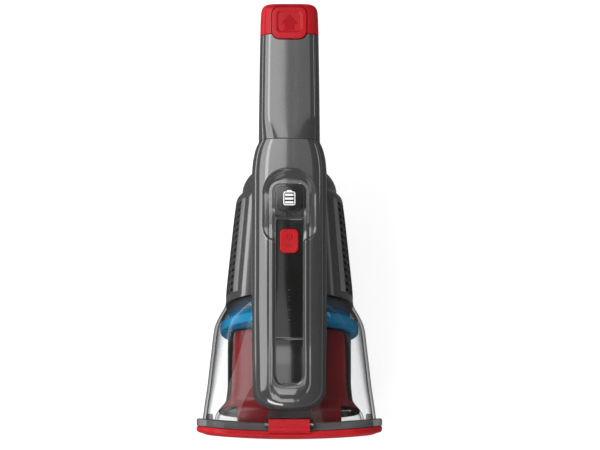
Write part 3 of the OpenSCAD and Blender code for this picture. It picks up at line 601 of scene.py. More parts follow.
for side, tag in ((-1, "left"), (1, "right")):
    outer = housing_profile(0)
    outer[0] = (HOUSING_R - 0.4, HOUSING_FRONT_Y)
    outer.insert(1, (HOUSING_R - 0.05, HOUSING_FRONT_Y + 0.4))
    shell = lathe_half("housing_" + tag, outer + housing_profile(SHELL)[::-1], side)
    near, far = VENT_Y[0] + 2, VENT_Y[1] - 2
    window = [(vent_radius(near) - 6, near), (vent_radius(near) + 3, near),
              (vent_radius(far) + 3, far), (vent_radius(far) - 6, far)]
    turns = np.radians(np.linspace(-26.5, 26.5, 24))
    cutter = loft("cutter", [np.array([(side * r * math.cos(a), y, AXIS_Z + r * math.sin(a))
                                       for r, y in window]) for a in turns])
    boolean(shell, cutter)
    place(shell, "main_body", "grey_dark", "motor_housing_" + tag, bevel=0.35)

    # Vent cover: a curved sheet of lozenge openings inside a plain border
    rows, cols = 14, 6
    verts, faces = [], []

    def vertex(u, v):
        """u runs round the housing and v along it, both from 0 to 1."""
        y = VENT_Y[0] + (VENT_Y[1] - VENT_Y[0]) * v
        a = math.radians(VENT_TURN * (2 * u - 1))
        r = vent_face(y)
        verts.append((side * r * math.cos(a), y, AXIS_Z + r * math.sin(a)))
        return len(verts) - 1

    grid = {}

    def corner(i, j):
        if (i, j) not in grid:
            grid[(i, j)] = vertex(i / cols, j / rows)
        return grid[(i, j)]

    for i in range(cols):
        for j in range(rows):
            c = [corner(i, j), corner(i + 1, j), corner(i + 1, j + 1), corner(i, j + 1)]
            cu, cv = (i + 0.5) / cols, (j + 0.5) / rows
            m = [vertex(cu, cv - 0.36 / rows), vertex(cu + 0.36 / cols, cv),
                 vertex(cu, cv + 0.36 / rows), vertex(cu - 0.36 / cols, cv)]
            for k in range(4):
                faces.append((c[k], c[(k + 1) % 4], m[k]))
                faces.append((c[k], m[k], m[(k + 3) % 4]))
    vent = make("vents_" + tag, verts, faces)
    thick = vent.modifiers.new("thick", "SOLIDIFY")
    thick.thickness, thick.offset = 1.7 * MM, -1
    bake(vent)
    place(vent, "main_body", "black_matte", "vent_cover_" + tag, bevel=0.3, angle=50)
    # Borders in a lighter grey than the housing: painted highlight bands along the vents' edges.
    borders = []
    for low, high in ((VENT_TURN, BORDER_TURN), (-BORDER_TURN, -VENT_TURN)):
        turns = np.radians(np.linspace(low, high, 9))
        strips = []
        for y in np.linspace(VENT_Y[0], VENT_Y[1], 24):
            reach = vent_face(y)
            rise = 0.35 * np.sqrt(np.maximum(1 - np.linspace(-1, 1, 9) ** 2, 0))
            outer_r, inner_r = reach + rise, np.full(9, reach - 1.6)
            x = np.concatenate([outer_r * np.cos(turns), (inner_r * np.cos(turns))[::-1]])
            z = np.concatenate([outer_r * np.sin(turns), (inner_r * np.sin(turns))[::-1]])
            strips.append(ring_at((side * x, AXIS_Z + z), y))
        borders.append(loft("border", strips))
    place(join("vent_border_" + tag, *borders), "main_body", "rim_grey", "vent_cover_" + tag,
          material=TRIM_PAINTED_HIGHLIGHT, bevel=0.2, angle=50)

# ---------------- spine

SPINE_N = 3.3
SPINE_HALF = max(row[1] for row in SPINE)
FLAT_COLUMNS = np.linspace(-25.9, 25.9, 87)
DISH_Y, DISH_HALF = 3.5, (22, 30.5)


def spine_top(x, y):
    w = SPINE_W(y)
    drop = 1 - np.maximum(1 - (np.abs(x) / w) ** SPINE_N, 0) ** (1 / SPINE_N)
    return SPINE_TOP(y) - SPINE_UP * drop


def channel_distance(x, y, front, half, radius):
    """Signed distance to the outline of a channel that runs from its rounded front end to the display."""
    return rounded_box_distance(x, y, 0, (front + 20) / 2, half, (20 - front) / 2, radius)


def dish_distance(x, y):
    """Signed distance to the dish, which is rounder at its rear end than at its front."""
    rear, front = (rounded_box_distance(x, y, 0, DISH_Y, *DISH_HALF, r) for r in (21, 13))
    return np.where(y > DISH_Y, rear, front)


def spine_depth(x, y):
    """How far the top is sunk: the channel between its raised rims, and the dish round the display."""
    inner = channel_distance(x, y, CHANNEL_END_Y, INLAY_HALF, END_RADIUS)
    outer = channel_distance(x, y, CHANNEL_END_Y - 10.8, 16.0, 13)
    rim = 0.42 * smooth((inner - 0.5) / 1.9) * smooth(-outer / 2.0) - 0.28 * bump(outer / 1.3)
    fade = smooth((1 - y) / 5)
    dish_d = -dish_distance(x, y)
    dish = 0.9 * smooth(dish_d / 2.2) + 0.6 * smooth((dish_d - 1.5) / 6)
    inside = smooth((1.5 - inner) / 1.8)
    floor_depth = np.maximum(1.25 * fade, dish)
    return dish + (floor_depth - dish) * inside - rim * fade


def spine_stations():
    front = [-155.2, -155.0, -154.6, -154, -153.2, -152.2, -151, -149.5, -147.8, -146, -144, -142]
    parts = [np.array(front), np.arange(-141.4, -121, 0.65), np.arange(-121, -34, 2.6),
             np.arange(-33, 37, 0.75), np.arange(38, 58.4, 1.7)]
    ends = [58.6, 58.8, 58.93, 59.0]
    return np.concatenate(parts + [ends])


def spine_rings():
    rings = []
    for y in spine_stations():
        w, top = float(SPINE_W(y)), float(SPINE_TOP(y))
        inset = max(0.0, 0.4 - math.sqrt(max(0.16 - (0.4 - (59.0 - y)) ** 2, 0))) if y > 58.6 else 0.0
        x_flat = FLAT_COLUMNS * (w / SPINE_HALF)
        z_flat = spine_top(x_flat, y) - spine_depth(x_flat, np.full_like(x_flat, y))
        # Corner from the last flat column down to the widest height, then the lower side
        edge = x_flat[-1] / w
        t0 = math.acos(edge ** (SPINE_N / 2))
        t = t0 * (1 - np.linspace(0, 1, 15)[1:])
        xc, zc = rounded_ring(t, w, top - SPINE_UP, SPINE_UP, SPINE_DOWN, SPINE_N)
        t = -np.linspace(0, math.pi / 2, 22)[1:-1]
        xl, zl = rounded_ring(t, w, top - SPINE_UP, SPINE_UP, SPINE_DOWN, SPINE_N)
        right = np.stack([np.concatenate([xc, xl]), np.concatenate([zc, zl])], 1)
        bottom = np.array([[0.0, top - SPINE_UP - SPINE_DOWN]])
        left = right[::-1] * np.array([-1, 1])
        flat = np.stack([x_flat, z_flat], 1)
        ring = np.concatenate([flat, right, bottom, left])
        if inset:
            ring = ring * np.array([1 - inset / w, 1])
            ring[:, 1] -= inset * np.sign(ring[:, 1] - (top - SPINE_UP))
        rings.append(ring_at(ring.T, y))
    return rings


def spine_core():
    ang = even_angles(SPINE_N, 1.4, 14)
    rings = []
    for y in [-149, -146, -142, -130, -115, -99, -88, -78, -66, -50, 30, 42, 50, 56, 60.5]:
        section = rounded_ring(ang, float(SPINE_W(y)) - SHELL, float(SPINE_TOP(y)) - SPINE_UP,
                               SPINE_UP - 4.6, 45, SPINE_N)
        rings.append(ring_at(section, y))
    return loft("cutter", rings)


BOWL_ANGLES = even_angles(2.5, 1.3, 34)


def bowl_ring(y, inset):
    """A section of the bowl at y, which may be one place or a place for each point."""
    top, bottom = BOWL_TOP(y), BOWL_BOTTOM(y)
    half = (top - bottom) / 2 - inset
    return rounded_ring(BOWL_ANGLES, BOWL_W(y) - inset, (top + bottom) / 2, half, half, BOWL_N(y))


def bowl_solid(inset):
    ys = np.concatenate([np.arange(-178, -90, 4), np.arange(-90, -65, 2), [BOWL_REAR_Y]])
    return loft("cutter", [ring_at(bowl_ring(y, inset), y) for y in ys])


spine = loft("spine_shell", spine_rings())
boolean(spine, spine_core())
front_disc = lathe("cutter", [(0.02, -67), (52.9, -67), (52.9, -63), (0.02, -63)])
boolean(spine, bowl_solid(-0.5), housing_solid(-0.15), front_disc,
        box(-40, 40, 29.85, 75, 55, SPLIT_Z + 0.15))
boolean(spine, upright(POWER_HOLE, POWER_HOLE_R, POWER_Y, 110, 140))
place(spine, "main_body", "grey_gloss", "spine_cover", angle=42)


def sunk(depth):
    return lambda x, y: spine_top(x, y) - depth


# Black strip in the channel, slightly hollow across, and the release key at its end
def hollow_top(x, y):
    return spine_top(x, y) - 0.80 - 0.45 * np.maximum(1 - (x / INLAY_HALF) ** 2, 0)


def strip_piece(name, front, rear, radius, depth, rim, along):
    """A stretch of the strip with a rounded front end and a plain rear end."""
    def half_width(y):
        over = front + radius - y
        side = INLAY_HALF - radius
        return INLAY_HALF if over <= 0 else side + math.sqrt(max(radius ** 2 - over ** 2, 0))

    def distance(x, y):
        return np.maximum(channel_distance(x, y, front, INLAY_HALF, radius), y - rear)
    return pad(name, half_width, front, rear, hollow_top, sunk(depth), distance, rim, along=along)


strip = strip_piece("inlay_strip", BREAK_Y + 0.25, -7.2, 0.5, depth=1.85, rim=0.5, along=40)
boolean(strip, upright(POWER_HOLE, POWER_HOLE_R, POWER_Y, 110, 140))
place(strip, "main_body", "black_gloss", "inlay_panel")

key = strip_piece("release_key", CHANNEL_END_Y, BREAK_Y - 0.25, END_RADIUS, depth=2.6, rim=0.6, along=70)
place(key, "release_button", "black_gloss", "release_button")

# Display: collar, dark pane and battery symbol
collar = frame_ring("display_collar", (32.4, 44), 9, 2.0, 2.4, sunk(0.3), TOP_Z - 3.4, rim=0.9)
boolean(collar, box(-30, 30, -30, -11.5, 100, 150))
place(collar, "main_body", "rim_grey", "display_bezel")
pane_base = rect_pad("display_base", (27.6, 28.8), 6, 7.3, sunk(1.5), TOP_Z - 3.4, 0.4)
pane_top = rect_pad("display_top", (22.0, 21.2), 5.5, 9,
                    lambda x, y: spine_top(x, y) - 0.7 - 0.0009 * x ** 2, TOP_Z - 2.2, 0.6)
pane = join("display_pane", pane_base, pane_top)
place(pane, "main_body", "black_gloss", "display_window")

marks = [frame_ring("mark", (9.6, 11.4), 1.8, 9.2, 0.75, sunk(0.5), TOP_Z - 0.9, rim=0.12)]
for size, r, y in [((4.0, 1.3), 0.5, 15.4)] + [((6.8, 1.75), 0.3, 5.9 + 3.1 * k) for k in range(3)]:
    marks.append(rect_pad("mark", size, r, y, sunk(0.5), TOP_Z - 0.9, 0.12, across=9, along=12))
symbol = join("battery_symbol", *marks)
place(symbol, "main_body", "icon_white", "display_icon")

# Power key with a raised on-off symbol
key_face = TOP_Z + 0.4


def dished(x, y):
    hx, hy = POWER_KEY[0] / 2, POWER_KEY[1] / 2
    return key_face - 0.35 * np.maximum(1 - (x / hx) ** 2 - ((y - POWER_Y) / hy) ** 2, 0)


power = rect_pad("power_key", POWER_KEY, 4, POWER_Y, dished, 125.6, 1.1)
arc = [(2.3 * math.sin(t), POWER_Y + 3.4 + 2.3 * math.cos(t), key_face - 0.22)
       for t in np.radians(np.linspace(40, 320, 30))]
lines = [tube("mark", arc, 0.28),
         tube("mark", [(0, POWER_Y + 3.8 + 0.5 * k, key_face - 0.22) for k in range(6)], 0.28)]
for x in (-3.2, 1.2):
    bar = [(x + 0.4 * k, POWER_Y - 4.2, key_face - 0.2) for k in range(6)]
    lines.append(tube("mark", bar, 0.22))
lines.append(tube("mark", [(0, POWER_Y - 5.6 + 0.4 * k, key_face - 0.2) for k in range(8)], 0.22))
place(power, "power_button", "red_gloss", "power_button")
place(join("power_symbol", *lines), "power_button", "red_gloss", material=ARROW_RED)

# ---------------- tail

TAIL_ANGLES = even_angles(4.2, 1.15, 28)


def tail_n(y):
    """The section's top grows flatter behind the seam."""
    return SPINE_N + 1.5 * smooth((np.asarray(y, float) - SEAM_Y) / 20)


def tail_ring(y, inset, w=None):
    w = float(TAIL_W(y)) if w is None else w
    half = TAIL_HALF - inset - max(0, 23.8 - w) * 0.7
    return rounded_ring(TAIL_ANGLES, w - inset, GRIP_Z, half, half, float(tail_n(y)))


def open_tube(name, section, y0, y1, count=14):
    """A tube of wall SHELL with rounded outer ends; section(y, inset) gives its outline."""
    stops = rounded_end(y0, 0.4, -1) + [(y, 0) for y in np.linspace(y0, y1, count)[1:-1]]
    stops += rounded_end(y1, 0.4, 1)[::-1]
    rings = [ring_at(section(y, inset), y) for y, inset in stops]
    rings += [ring_at(section(y, SHELL), y) for y in np.linspace(y1, y0, count)]
    return loft(name, rings, closed=True)


upper = open_tube("tail_upper", tail_ring, SEAM_Y + 0.15, CAP_Y)
boolean(upper, box(-40, 40, 50, 160, 80, SPLIT_Z))
boolean(upper, upright((29.4, 20), 7, TONGUE_Y - 4.6, 126, 140))
place(upper, "main_body", "grey_gloss", "grip_upper", angle=42)


def lower_ring(y, inset):
    w, bottom = float(LOWER_W(y)), float(LOWER_BOTTOM(y))
    return rounded_ring(TAIL_ANGLES, w - inset, GRIP_Z, TAIL_HALF - inset, GRIP_Z - bottom - inset, 3.2)


lower = open_tube("tail_lower", lower_ring, 30, CAP_Y, count=32)
boolean(lower, housing_solid(-0.15), box(-40, 40, 20, 160, SPLIT_Z - 0.15, 150))
for x in (-19, 19):
    for y in (65, 140.5):
        turn = np.stack([x + 2.5 * np.cos(TAIL_ANGLES), y + 2.5 * np.sin(TAIL_ANGLES)], 1)
        hole = [np.insert(turn, 2, z, axis=1) for z in (80, 95)]
        boolean(lower, loft("cutter", hole))
place(lower, "main_body", "grey_dark", "grip_lower", bevel=0.3, angle=48)

# Red end cap with its tongue; it rounds off from CAP_ROUND_Y to the tail's end
CAP_ROUND_Y, CAP_ROUND, CAP_W = 167, 4.2, 23.1
cap_stops = rounded_end(CAP_Y + 0.4, 0.4, -1) + [(y, 0) for y in (149, 152, 156, 160, 164, CAP_ROUND_Y)]
cap_rings = [ring_at(tail_ring(y, i), y) for y, i in cap_stops]
for a in np.linspace(0, 90, 12)[1:]:
    s, c = math.sin(math.radians(a)), math.cos(math.radians(a))
    y = CAP_ROUND_Y + (TAIL_Y - CAP_ROUND_Y) * s
    cap_rings.append(ring_at(tail_ring(y, CAP_ROUND * (1 - c), CAP_W), y))
last = tail_ring(TAIL_Y, CAP_ROUND, CAP_W)
cap_rings += [ring_at(drawn_in(last, k), TAIL_Y) for k in (0.75, 0.4, 0.1, 0.0003)]
inner_stops = [(169.5, 6.5), (167.5, 4.0), (160, SHELL), (152, SHELL), (CAP_Y + 0.4, SHELL)]
inner_rings = [ring_at(drawn_in(last, k), TAIL_Y - 3.0) for k in (0.0003, 0.1)]
inner_rings += [ring_at(tail_ring(y, i, 23.5), y) for y, i in inner_stops]
cap = loft("tail_end_cap", cap_rings + inner_rings, closed=True)
boolean(cap, upright((29.2, 28.3), 7, TONGUE_Y, 121, 140))
place(cap, "tail_cap", "red_gloss", "tail_cap", angle=42)


def tail_top(x, y):
    w = TAIL_W(y)
    half = TAIL_HALF - np.maximum(0, 23.8 - w) * 0.7
    n = tail_n(y)
    return GRIP_Z + half * np.maximum(1 - (np.abs(x) / w) ** n, 0) ** (1 / n)


def tongue_top(x, y):
    recess = 0.9 * smooth(-rounded_box_distance(x, y, 0, TONGUE_Y + 0.8, 10.6, 9.4, 4) / 1.6)
    return tail_top(x, y) + 0.35 - recess


tongue = rect_pad("tail_tongue", (28.4, 27.5), 6.8, TONGUE_Y, tongue_top, 128.2, 0.8, across=61, along=80)
place(tongue, "cap_tongue", "red_gloss", "cap_tongue")

ARROW = [(0, 7.0), (-6.8, -0.8), (-3.9, -0.8), (-3.9, -6.6), (3.9, -6.6), (3.9, -0.8), (6.8, -0.8)]
arrow = loft("tongue_arrow", [np.array([(x * k, TONGUE_Y + y * k, z) for x, y in ARROW])
                              for k, z in ((1, 129.2), (1, 130.45), (0.95, 130.65))])
place(arrow, "cap_tongue", "red_gloss", material=ARROW_RED)

# ---------------- bowl

def mouth_surface(x, z, depth):
    """Place along the length of the bowed, raked mouth, at a depth behind the door's face."""
    local = MOUTH_R - np.sqrt((MOUTH_R - depth) ** 2 - x ** 2)
    return MOUTH_Y + local / math.cos(MOUTH_RAKE) - (z - MOUTH_Z) * math.tan(MOUTH_RAKE)


def bowl_wall(share, inset, depth):
    """Ring at a share of the way from the rear edge to the mouth."""
    x, z = bowl_ring(BOWL_REAR_Y + (BOWL_FRONT_Y - BOWL_REAR_Y) * share, inset)
    for _ in range(3):
        y = BOWL_REAR_Y + (mouth_surface(x, z, depth) - BOWL_REAR_Y) * share
        x, z = bowl_ring(y, inset)
    return ring_at((x, z), y)


def flange_outline(inset):
    """Rounded rectangle sampled along the same directions as the bowl's last ring."""
    ring = bowl_wall(1.0, 0, DOOR_T + 0.15)
    hx, hz, r = (v - inset for v in (*DOOR_HALF, DOOR_R))
    dx, dz = ring[:, 0], ring[:, 2] - DOOR_Z
    low, high = np.full(len(ring), 0.2), np.full(len(ring), 3.0)
    for _ in range(40):
        mid = (low + high) / 2
        inside = rounded_box_distance(dx * mid, dz * mid, 0, 0, hx, hz, r) < 0
        low, high = np.where(inside, mid, low), np.where(inside, high, mid)
    return dx * low, DOOR_Z + dz * low


shares = np.concatenate([[0, 0.01, 0.03], np.linspace(0.05, 0.3, 16), np.linspace(0.33, 0.96, 22),
                         [0.985, 1.0]])
FLANGE_BACK = DOOR_T + 5.6
rings = [bowl_wall(share, 0, FLANGE_BACK) for share in shares]
rings += [bowl_wall(share, SHELL, FLANGE_BACK) for share in shares[:0:-1]]
rings.append(bowl_wall(0, SHELL, FLANGE_BACK))
bowl = loft("bowl_shell", rings, closed=True)
place(bowl, "dust_bowl", "smoke_clear", "dust_bowl", angle=42)

# Flange round the mouth, of the same plastic seen along its depth
rings = [bowl_wall(1.0, 0.2, FLANGE_BACK + 0.8)]
for inset, depth in ((1.2, 6.2), (0.4, 5.8), (0, 5.2), (0, 0.9), (0.3, 0.4), (1.0, 0.15)):
    fx, fz = flange_outline(inset)
    rings.append(ring_at((fx, fz), mouth_surface(fx, fz, DOOR_T + depth)))
rings += [bowl_wall(1.0, SHELL + 0.3, depth) for depth in (DOOR_T + 0.15, FLANGE_BACK + 0.1)]
flange = loft("bowl_flange", rings, closed=True)
place(flange, "dust_bowl", "smoke_clear", material=SMOKE_DARK, angle=42)

# Smoky sleeve inside the bowl's rear edge
sleeve_places = np.linspace(-65.6, -75.5, 12)
sleeve_rings = [ring_at(bowl_ring(y, 2.6), y) for y in sleeve_places]
sleeve_rings += [ring_at(bowl_ring(y, 3.3), y) for y in sleeve_places[::-1]]
sleeve = loft("bowl_sleeve", sleeve_rings, closed=True)
place(sleeve, "dust_bowl", "smoke_clear", material=SLEEVE_SMOKE, angle=42)

# Clear seat behind the latch, ears for its pin, the door's hinge lugs, and a rib by each side wall
PIN_Y, PIN_Z, EAR_R, EAR_DROP = -167, 87.4, 2.6, 8.4
seat = [upright((34.4, 8.4), 1.6, -158, 80, 88, name="seat"),
        upright((30, 6), 1, -163, 78, 83.4, name="seat")]
for s in (-1, 1):
    ear = []
    for k in range(28):
        a = 2 * math.pi * k / 28
        rise = EAR_R * math.sin(a) if math.sin(a) >= 0 else -EAR_DROP * abs(math.sin(a)) ** 0.3
        ear.append((PIN_Y + EAR_R * math.cos(a), PIN_Z + rise))
    seat.append(block("seat", s * 17.1, s * 19.6, ear))
    lug = [(-160, 5.6), (-159.2, 3.4), (-157, 2.6), (-143, 2.6), (-143, 11), (-158.4, 11), (-160, 8)]
    seat.append(block("seat", s * 28.1, s * 33.9, lug))
    seat.append(upright((5.4, 10), 1, -157.5, 34, 60, cx=s * 64.6, name="seat"))
seat = join("latch_seat", *seat)
place(seat, "dust_bowl", "smoke_clear", material=SEAT_CLEAR, bevel=0.35)

# ---------------- filter and duct

ring_profile = [(41, -87), (54.6, -87), (55.6, -86.6), (56, -85.6), (56, -80.4), (55.6, -79.4), (54.6, -79),
                (50.2, -79), (49.4, -78.6), (49.2, -77.8), (49.2, -67), (48.8, -66.6), (46, -66.6),
                (46, -84.6), (45.4, -85), (41, -85)]
filter_ring = lathe("filter_ring", ring_profile, 128)
place(filter_ring, "dust_bowl", "blue_plastic", "filter_frame", angle=50)

DUCT_ANGLES = even_angles(3, 1.6, 26)
FLARE_HALF, FLARE_Y, FLARE_LENGTH = 60.5, -139, 16
SEAM_FRONT, SEAM_REAR = (-165, 54), (-90, 80)


def duct_rings():
    outer, inner = [], []
    shares = np.concatenate([[0, 0.008, 0.03], np.linspace(0.08, 0.55, 12), np.linspace(0.58, 1.0, 24)])
    for share in shares:
        for inset, store in ((0.0, outer), (2.0, inner)):
            y = DUCT_REAR_Y + (DUCT_FRONT_Y - DUCT_REAR_Y) * share
            for _ in range(3):
                flare = smooth((FLARE_Y - y) / FLARE_LENGTH)
                w = DUCT_W(y) + (FLARE_HALF - DUCT_W(y)) * flare
                top, bottom = DUCT_TOP(y) + 8 * flare, DUCT_BOTTOM(y) - 7 * flare
                half = (top - bottom) / 2 - inset
                x, z = rounded_ring(DUCT_ANGLES, w - inset, (top + bottom) / 2, half, half, 3)
                y = DUCT_REAR_Y + (mouth_surface(x, z, DOOR_T + 0.6) - DUCT_REAR_Y) * share
            soft = 0.35 if share == 0 and inset == 0 else 0.0
            store.append(ring_at((x * (1 - soft / 50), z - soft * np.sign(z - 60)), y))
    return outer + inner[::-1]


def above_seam(gap=0.0):
    """Block above the duct's seam, or from a gap below it, which rises from the mouth to the rear."""
    (y0, z0), (y1, z1) = SEAM_FRONT, SEAM_REAR
    seam = [(y, z0 - gap + (y - y0) * (z1 - z0) / (y1 - y0)) for y in (-185, -80)]
    return block("cutter", -90, 90, seam + [(y, z + 120) for y, z in seam[::-1]])


def flare_block(side, grow=0.0):
    """Covers one side of the duct's mouth, where the duct is made of pale clear plastic with light edges, a
    painted reflection.
    """
    x0, x1 = sorted((side * (42 + grow), side * 90))
    return box(x0, x1, -190, -148 - grow, 0, 140)


def duct_piece(name, slot, node, inside, outside, material=None):
    """The part of the duct that lies in every block of the first list and in none of the second."""
    piece = loft(name, duct_rings(), closed=True)
    boolean(piece, *inside, operation="INTERSECT")
    boolean(piece, *outside)
    place(piece, "dust_bowl", slot, node, material=material, bevel=0.3)


duct_piece("duct_upper", "red_clear", "duct_top", [above_seam()], [flare_block(s) for s in (-1, 1)])
duct_piece("duct_lower", "black_gloss", "duct_base", [],
           [above_seam(0.15)] + [flare_block(s) for s in (-1, 1)])
# The mouth's sides get the pale clear look, a painted reflection.
for side, tag in ((-1, "left"), (1, "right")):
    duct_piece("duct_flare_" + tag, "smoke_clear", "duct_base", [flare_block(side, 0.1)], [], FLARE_PAINTED_REFLECTION)

# ---------------- door and latch

def door_ring(outer_inset, share, depth, slot_grow=0.0):
    """share 0 lies on the slot's outline and 1 on the door's outline."""
    ox, oz = rounded_rect(*[v - outer_inset for v in (*DOOR_HALF, DOOR_R)], DOOR_Z)
    ix, iz = rounded_rect(*[v + slot_grow for v in (*SLOT_HALF, SLOT_R)], SLOT_Z)
    x, z = ix + (ox - ix) * share, iz + (oz - iz) * share
    return ring_at((x, z), mouth_surface(x, z, depth))


DOOR_EDGE, SLOT_EDGE, PILLOW = 2.4, 0.9, 1.6
door_rings = [door_ring(0, 0, DOOR_T), door_ring(0, 0, SLOT_EDGE), door_ring(0, 0, 0.3, 0.3),
              door_ring(0, 0, 0, SLOT_EDGE)]
door_rings += [door_ring(DOOR_EDGE, s, -PILLOW * math.sin(math.pi * s) ** 1.5, SLOT_EDGE)
               for s in (0.08, 0.16, 0.27, 0.38, 0.5, 0.62, 0.73, 0.84, 0.92, 1.0)]
for a in (75, 60, 45, 30, 15, 0):
    s, c = math.sin(math.radians(a)), math.cos(math.radians(a))
    door_rings.append(door_ring(DOOR_EDGE * (1 - c), 1.0, DOOR_EDGE * (1 - s)))
door_rings += [door_ring(0, 1, DOOR_T - 0.9), door_ring(0.25, 1, DOOR_T - 0.3), door_ring(0.9, 1, DOOR_T)]
door_rings += [door_ring(0.9, s, DOOR_T) for s in (0.8, 0.4, 0.1)]
door = loft("front_door", door_rings, closed=True)
KNUCKLE_HALF, HINGE_Y, HINGE_Z = 27.6, -157, 5.6
turns = np.linspace(0, 2 * math.pi, 32, endpoint=False)
knuckle = block("knuckle", -KNUCKLE_HALF, KNUCKLE_HALF,
                [(HINGE_Y + 3 * math.cos(t), HINGE_Z + 3 * math.sin(t)) for t in turns])
web = box(-KNUCKLE_HALF, KNUCKLE_HALF, -160, HINGE_Y + 0.4, HINGE_Z, 10.6)
door = join("front_door", door, knuckle, web)
place(door, "nose_door", "red_gloss", "nose_door", angle=42)


def latch_section(shrink):
    """Side outline of the latch: a flat tab that turns down over the door's edge."""
    upper = [(-162.7, 88.0), (-163.2, 88.75), (-164.4, 89.1), (-167, 89.4), (-169.6, 89.6), (-170.6, 89.5),
             (-171.2, 89.0), (-172.6, 87.6), (-173.5, 86.4), (-173.8, 85.6)]
    under = [(-173.6, 84.9), (-173.0, 84.6), (-172.2, 85.2), (-171.0, 86.5), (-169.8, 87.1), (-168.9, 86.1),
             (-167, 85.3), (-165.1, 86.1), (-164.4, 86.9), (-163.2, 87.1)]
    pts = np.array(upper + under)
    mid = np.array([-169.5, 87.4])
    size = np.array([14.8, 4.6])
    return mid + (pts - mid) * (1 - 2 * shrink / size)


def smooth_outline(pts, count=72):
    """Closed Catmull-Rom curve through an outline."""
    n = len(pts)
    out = []
    for k in range(count):
        f = k * n / count
        i, t = int(f), f - int(f)
        p0, p1, p2, p3 = (pts[(i + d) % n] for d in (-1, 0, 1, 2))
        out.append(0.5 * (2 * p1 + (p2 - p0) * t + (2 * p0 - 5 * p1 + 4 * p2 - p3) * t * t
                          + (3 * p1 - p0 - 3 * p2 + p3) * t ** 3))
    return np.array(out)


LATCH_HALF = 16.7
latch_rings = []
for x, shrink in rounded_end(-LATCH_HALF, 0.6, -1) + rounded_end(LATCH_HALF, 0.6, 1)[::-1]:
    outline = smooth_outline(latch_section(shrink))
    latch_rings.append(np.stack([np.full(len(outline), x), outline[:, 0], outline[:, 1]], 1))
latch = loft("latch_tab", latch_rings)
place(latch, "door_latch", "red_gloss", "door_latch", angle=45)

# ---------------- springs

def coil(name, radius, wire, z0, height, turns, cx, cy):
    """Helical spring standing on z0."""
    t = np.linspace(0, 1, turns * 24 + 1)
    a = 2 * math.pi * turns * t
    z = z0 + wire + (height - 2 * wire) * t
    return tube(name, np.stack([cx + radius * np.cos(a), cy + radius * np.sin(a), z], 1), wire, sides=8)


def squeezed(obj, body, node):
    """Places a spring on its body and gives it a mesh of its own."""
    place(obj, body, "steel", node, angle=50)
    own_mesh(obj)


POWER_SEAT_Z, TONGUE_SEAT, LATCH_SEAT = 117.8, (0, 155, 118), (0, -163.55, 84.35)
squeezed(coil("power_coil", 4.6, 0.35, POWER_SEAT_Z, 7.7, 5, 0, POWER_Y), "main_body", "power_spring")
squeezed(coil("tongue_coil", 3.4, 0.3, TONGUE_SEAT[2], 10.3, 4, *TONGUE_SEAT[:2]), "tail_cap",
         "tongue_spring")
latch_coils = [coil("coil", 0.85, 0.18, LATCH_SEAT[2], 2.6, 3, s * 11, LATCH_SEAT[1]) for s in (-1, 1)]
squeezed(join("latch_coils", *latch_coils), "dust_bowl", "latch_spring")

# Bowed leaf under the release key, hooked under the cover at both ends
BOW_DEPTH = monotone([-144, -142, -137, -134, -110, -107, -102, -98],
                     [4.8, 4.8, 4.6, 3.65, 3.65, 4.6, 4.8, 4.8])
leaf_rings = []
for y in np.linspace(-144, -98, 60):
    z = float(SPINE_TOP(y)) - float(BOW_DEPTH(y))
    leaf_rings.append([(-3, y, z + 0.2), (3, y, z + 0.2), (3, y, z - 0.2), (-3, y, z - 0.2)])
squeezed(loft("release_leaf", leaf_rings), "main_body", "release_spring")

# ---------------- studio

def camera(target, back, distance, lens):
    data = bpy.data.cameras.new("camera")
    data.lens, data.sensor_width = lens, 36
    data.clip_start, data.clip_end = 0.05, 20
    cam = new_object("camera", data)
    back = Vector(back).normalized()
    cam.location = Vector(target) + back * distance
    cam.rotation_mode = "QUATERNION"
    cam.rotation_quaternion = (-back).to_track_quat("-Z", "Y")
    SCENE.camera = cam


def soft_box(name, centre, aim, size, radiance, roll=0.0):
    """Rectangular light whose face has a given brightness."""
    data = bpy.data.lights.new(name, "AREA")
    data.shape, data.size, data.size_y = "RECTANGLE", size[0], size[1]
    data.energy = radiance * math.pi * size[0] * size[1]
    obj = new_object(name, data)
    obj.location = centre
    turn = (Vector(aim) - Vector(centre)).to_track_quat("-Z", "Y").to_matrix()
    obj.rotation_euler = (turn @ Matrix.Rotation(roll, 3, "Z")).to_euler()


camera(target=(0.0086, 0.0067, 0.060), back=(0, -0.242, 0.970), distance=4.0, lens=294.0)

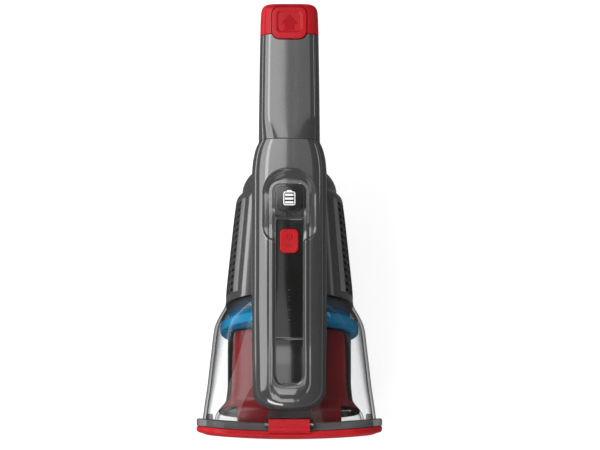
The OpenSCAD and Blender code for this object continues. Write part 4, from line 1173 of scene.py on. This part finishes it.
# Reflected in, from the first: the tail's left half, the left rails, the tail's right half, the hollow
# strip, the release key, the lip of the nose, the barrel's flank, the slope of the nose, the right edges
soft_box("tail_box", (-0.42, 0.64, 1.5), (-0.42, 0.64, 0), (0.82, 0.56), 3.4)
soft_box("left_box", (-0.98, -0.1, 1.25), (0, -0.1, 0.1), (2.9, 1.02), 3.4)
soft_box("tail_fill", (0.61, 0.92, 2.4), (0.61, 0.92, 0), (1.2, 0.62), 0.7)
soft_box("strip_box", (0.12, -0.55, 1.5), (0.12, -0.55, 0), (0.22, 1.76), 1.1, roll=math.radians(-3))
soft_box("key_box", (0.14, -1.33, 1.5), (0.14, -0.12, 0.1), (0.34, 0.36), 2.6)
soft_box("front_box", (-0.36, -1.7, 0.62), (0, -0.15, 0.1), (0.6, 0.30), 9.0)
soft_box("low_box", (-0.46, 0.16, 0.065), (0, 0.16, 0.065), (0.8, 0.075), 3.6)
soft_box("nose_box", (-0.17, -1.57, 1.16), (0, -0.15, 0.1), (0.42, 0.42), 3.4)
soft_box("right_strip", (1.25, 0.60, 0.75), (0, 0.25, 0.1), (0.46, 0.14), 3.0)

world = bpy.data.worlds.new("studio")
world.use_nodes = True
sky = world.node_tree
heading = add(sky, "SeparateXYZ", {"Vector": add(sky, "TexCoord").outputs["Generated"]})
shift = add(sky, "MapRange", {"From Min": -1.0, "Value": heading.outputs["Z"]})
bands = add(sky, "ValToRGB", {"Fac": shift.outputs["Result"]})
for end, (position, grey) in zip(bands.color_ramp.elements, ((0.497, 0.1), (0.505, 0.75))):
    end.position, end.color = position, (grey, grey, grey, 1)
for position, grey in ((0.53, 0.75), (0.57, 0.15)):
    bands.color_ramp.elements.new(position).color = (grey, grey, grey, 1)
sky.links.new(bands.outputs["Color"], sky.nodes["Background"].inputs["Color"])
SCENE.world = world
SCENE.view_settings.view_transform = "Standard"
SCENE.view_settings.look = "None"

# Floor: a lit white table, so it shows only faint shadows
floor_mesh = bpy.data.meshes.new("floor")
floor_mesh.from_pydata([(-12, -12, 0), (12, -12, 0), (12, 12, 0), (-12, 12, 0)], [], [(0, 1, 2, 3)])
floor = new_object("floor", floor_mesh)
floor_mat, floor_tree, floor_out, floor_place = shader("floor_paper")
paint = add(floor_tree, "BsdfPrincipled", {
    "Base Color": ramp(floor_tree, noise(floor_tree, floor_place, 3, 3), 0.3, 0.7, 0.30, 0.31),
    "Roughness": 0.9, "Specular IOR Level": 0.1,
    "Emission Color": (1, 1, 1, 1), "Emission Strength": 0.86})
floor_tree.links.new(paint.outputs["BSDF"], floor_out.inputs["Surface"])
floor_mesh.materials.append(floor_mat)
floor.visible_glossy = False

bpy.context.view_layer.update()
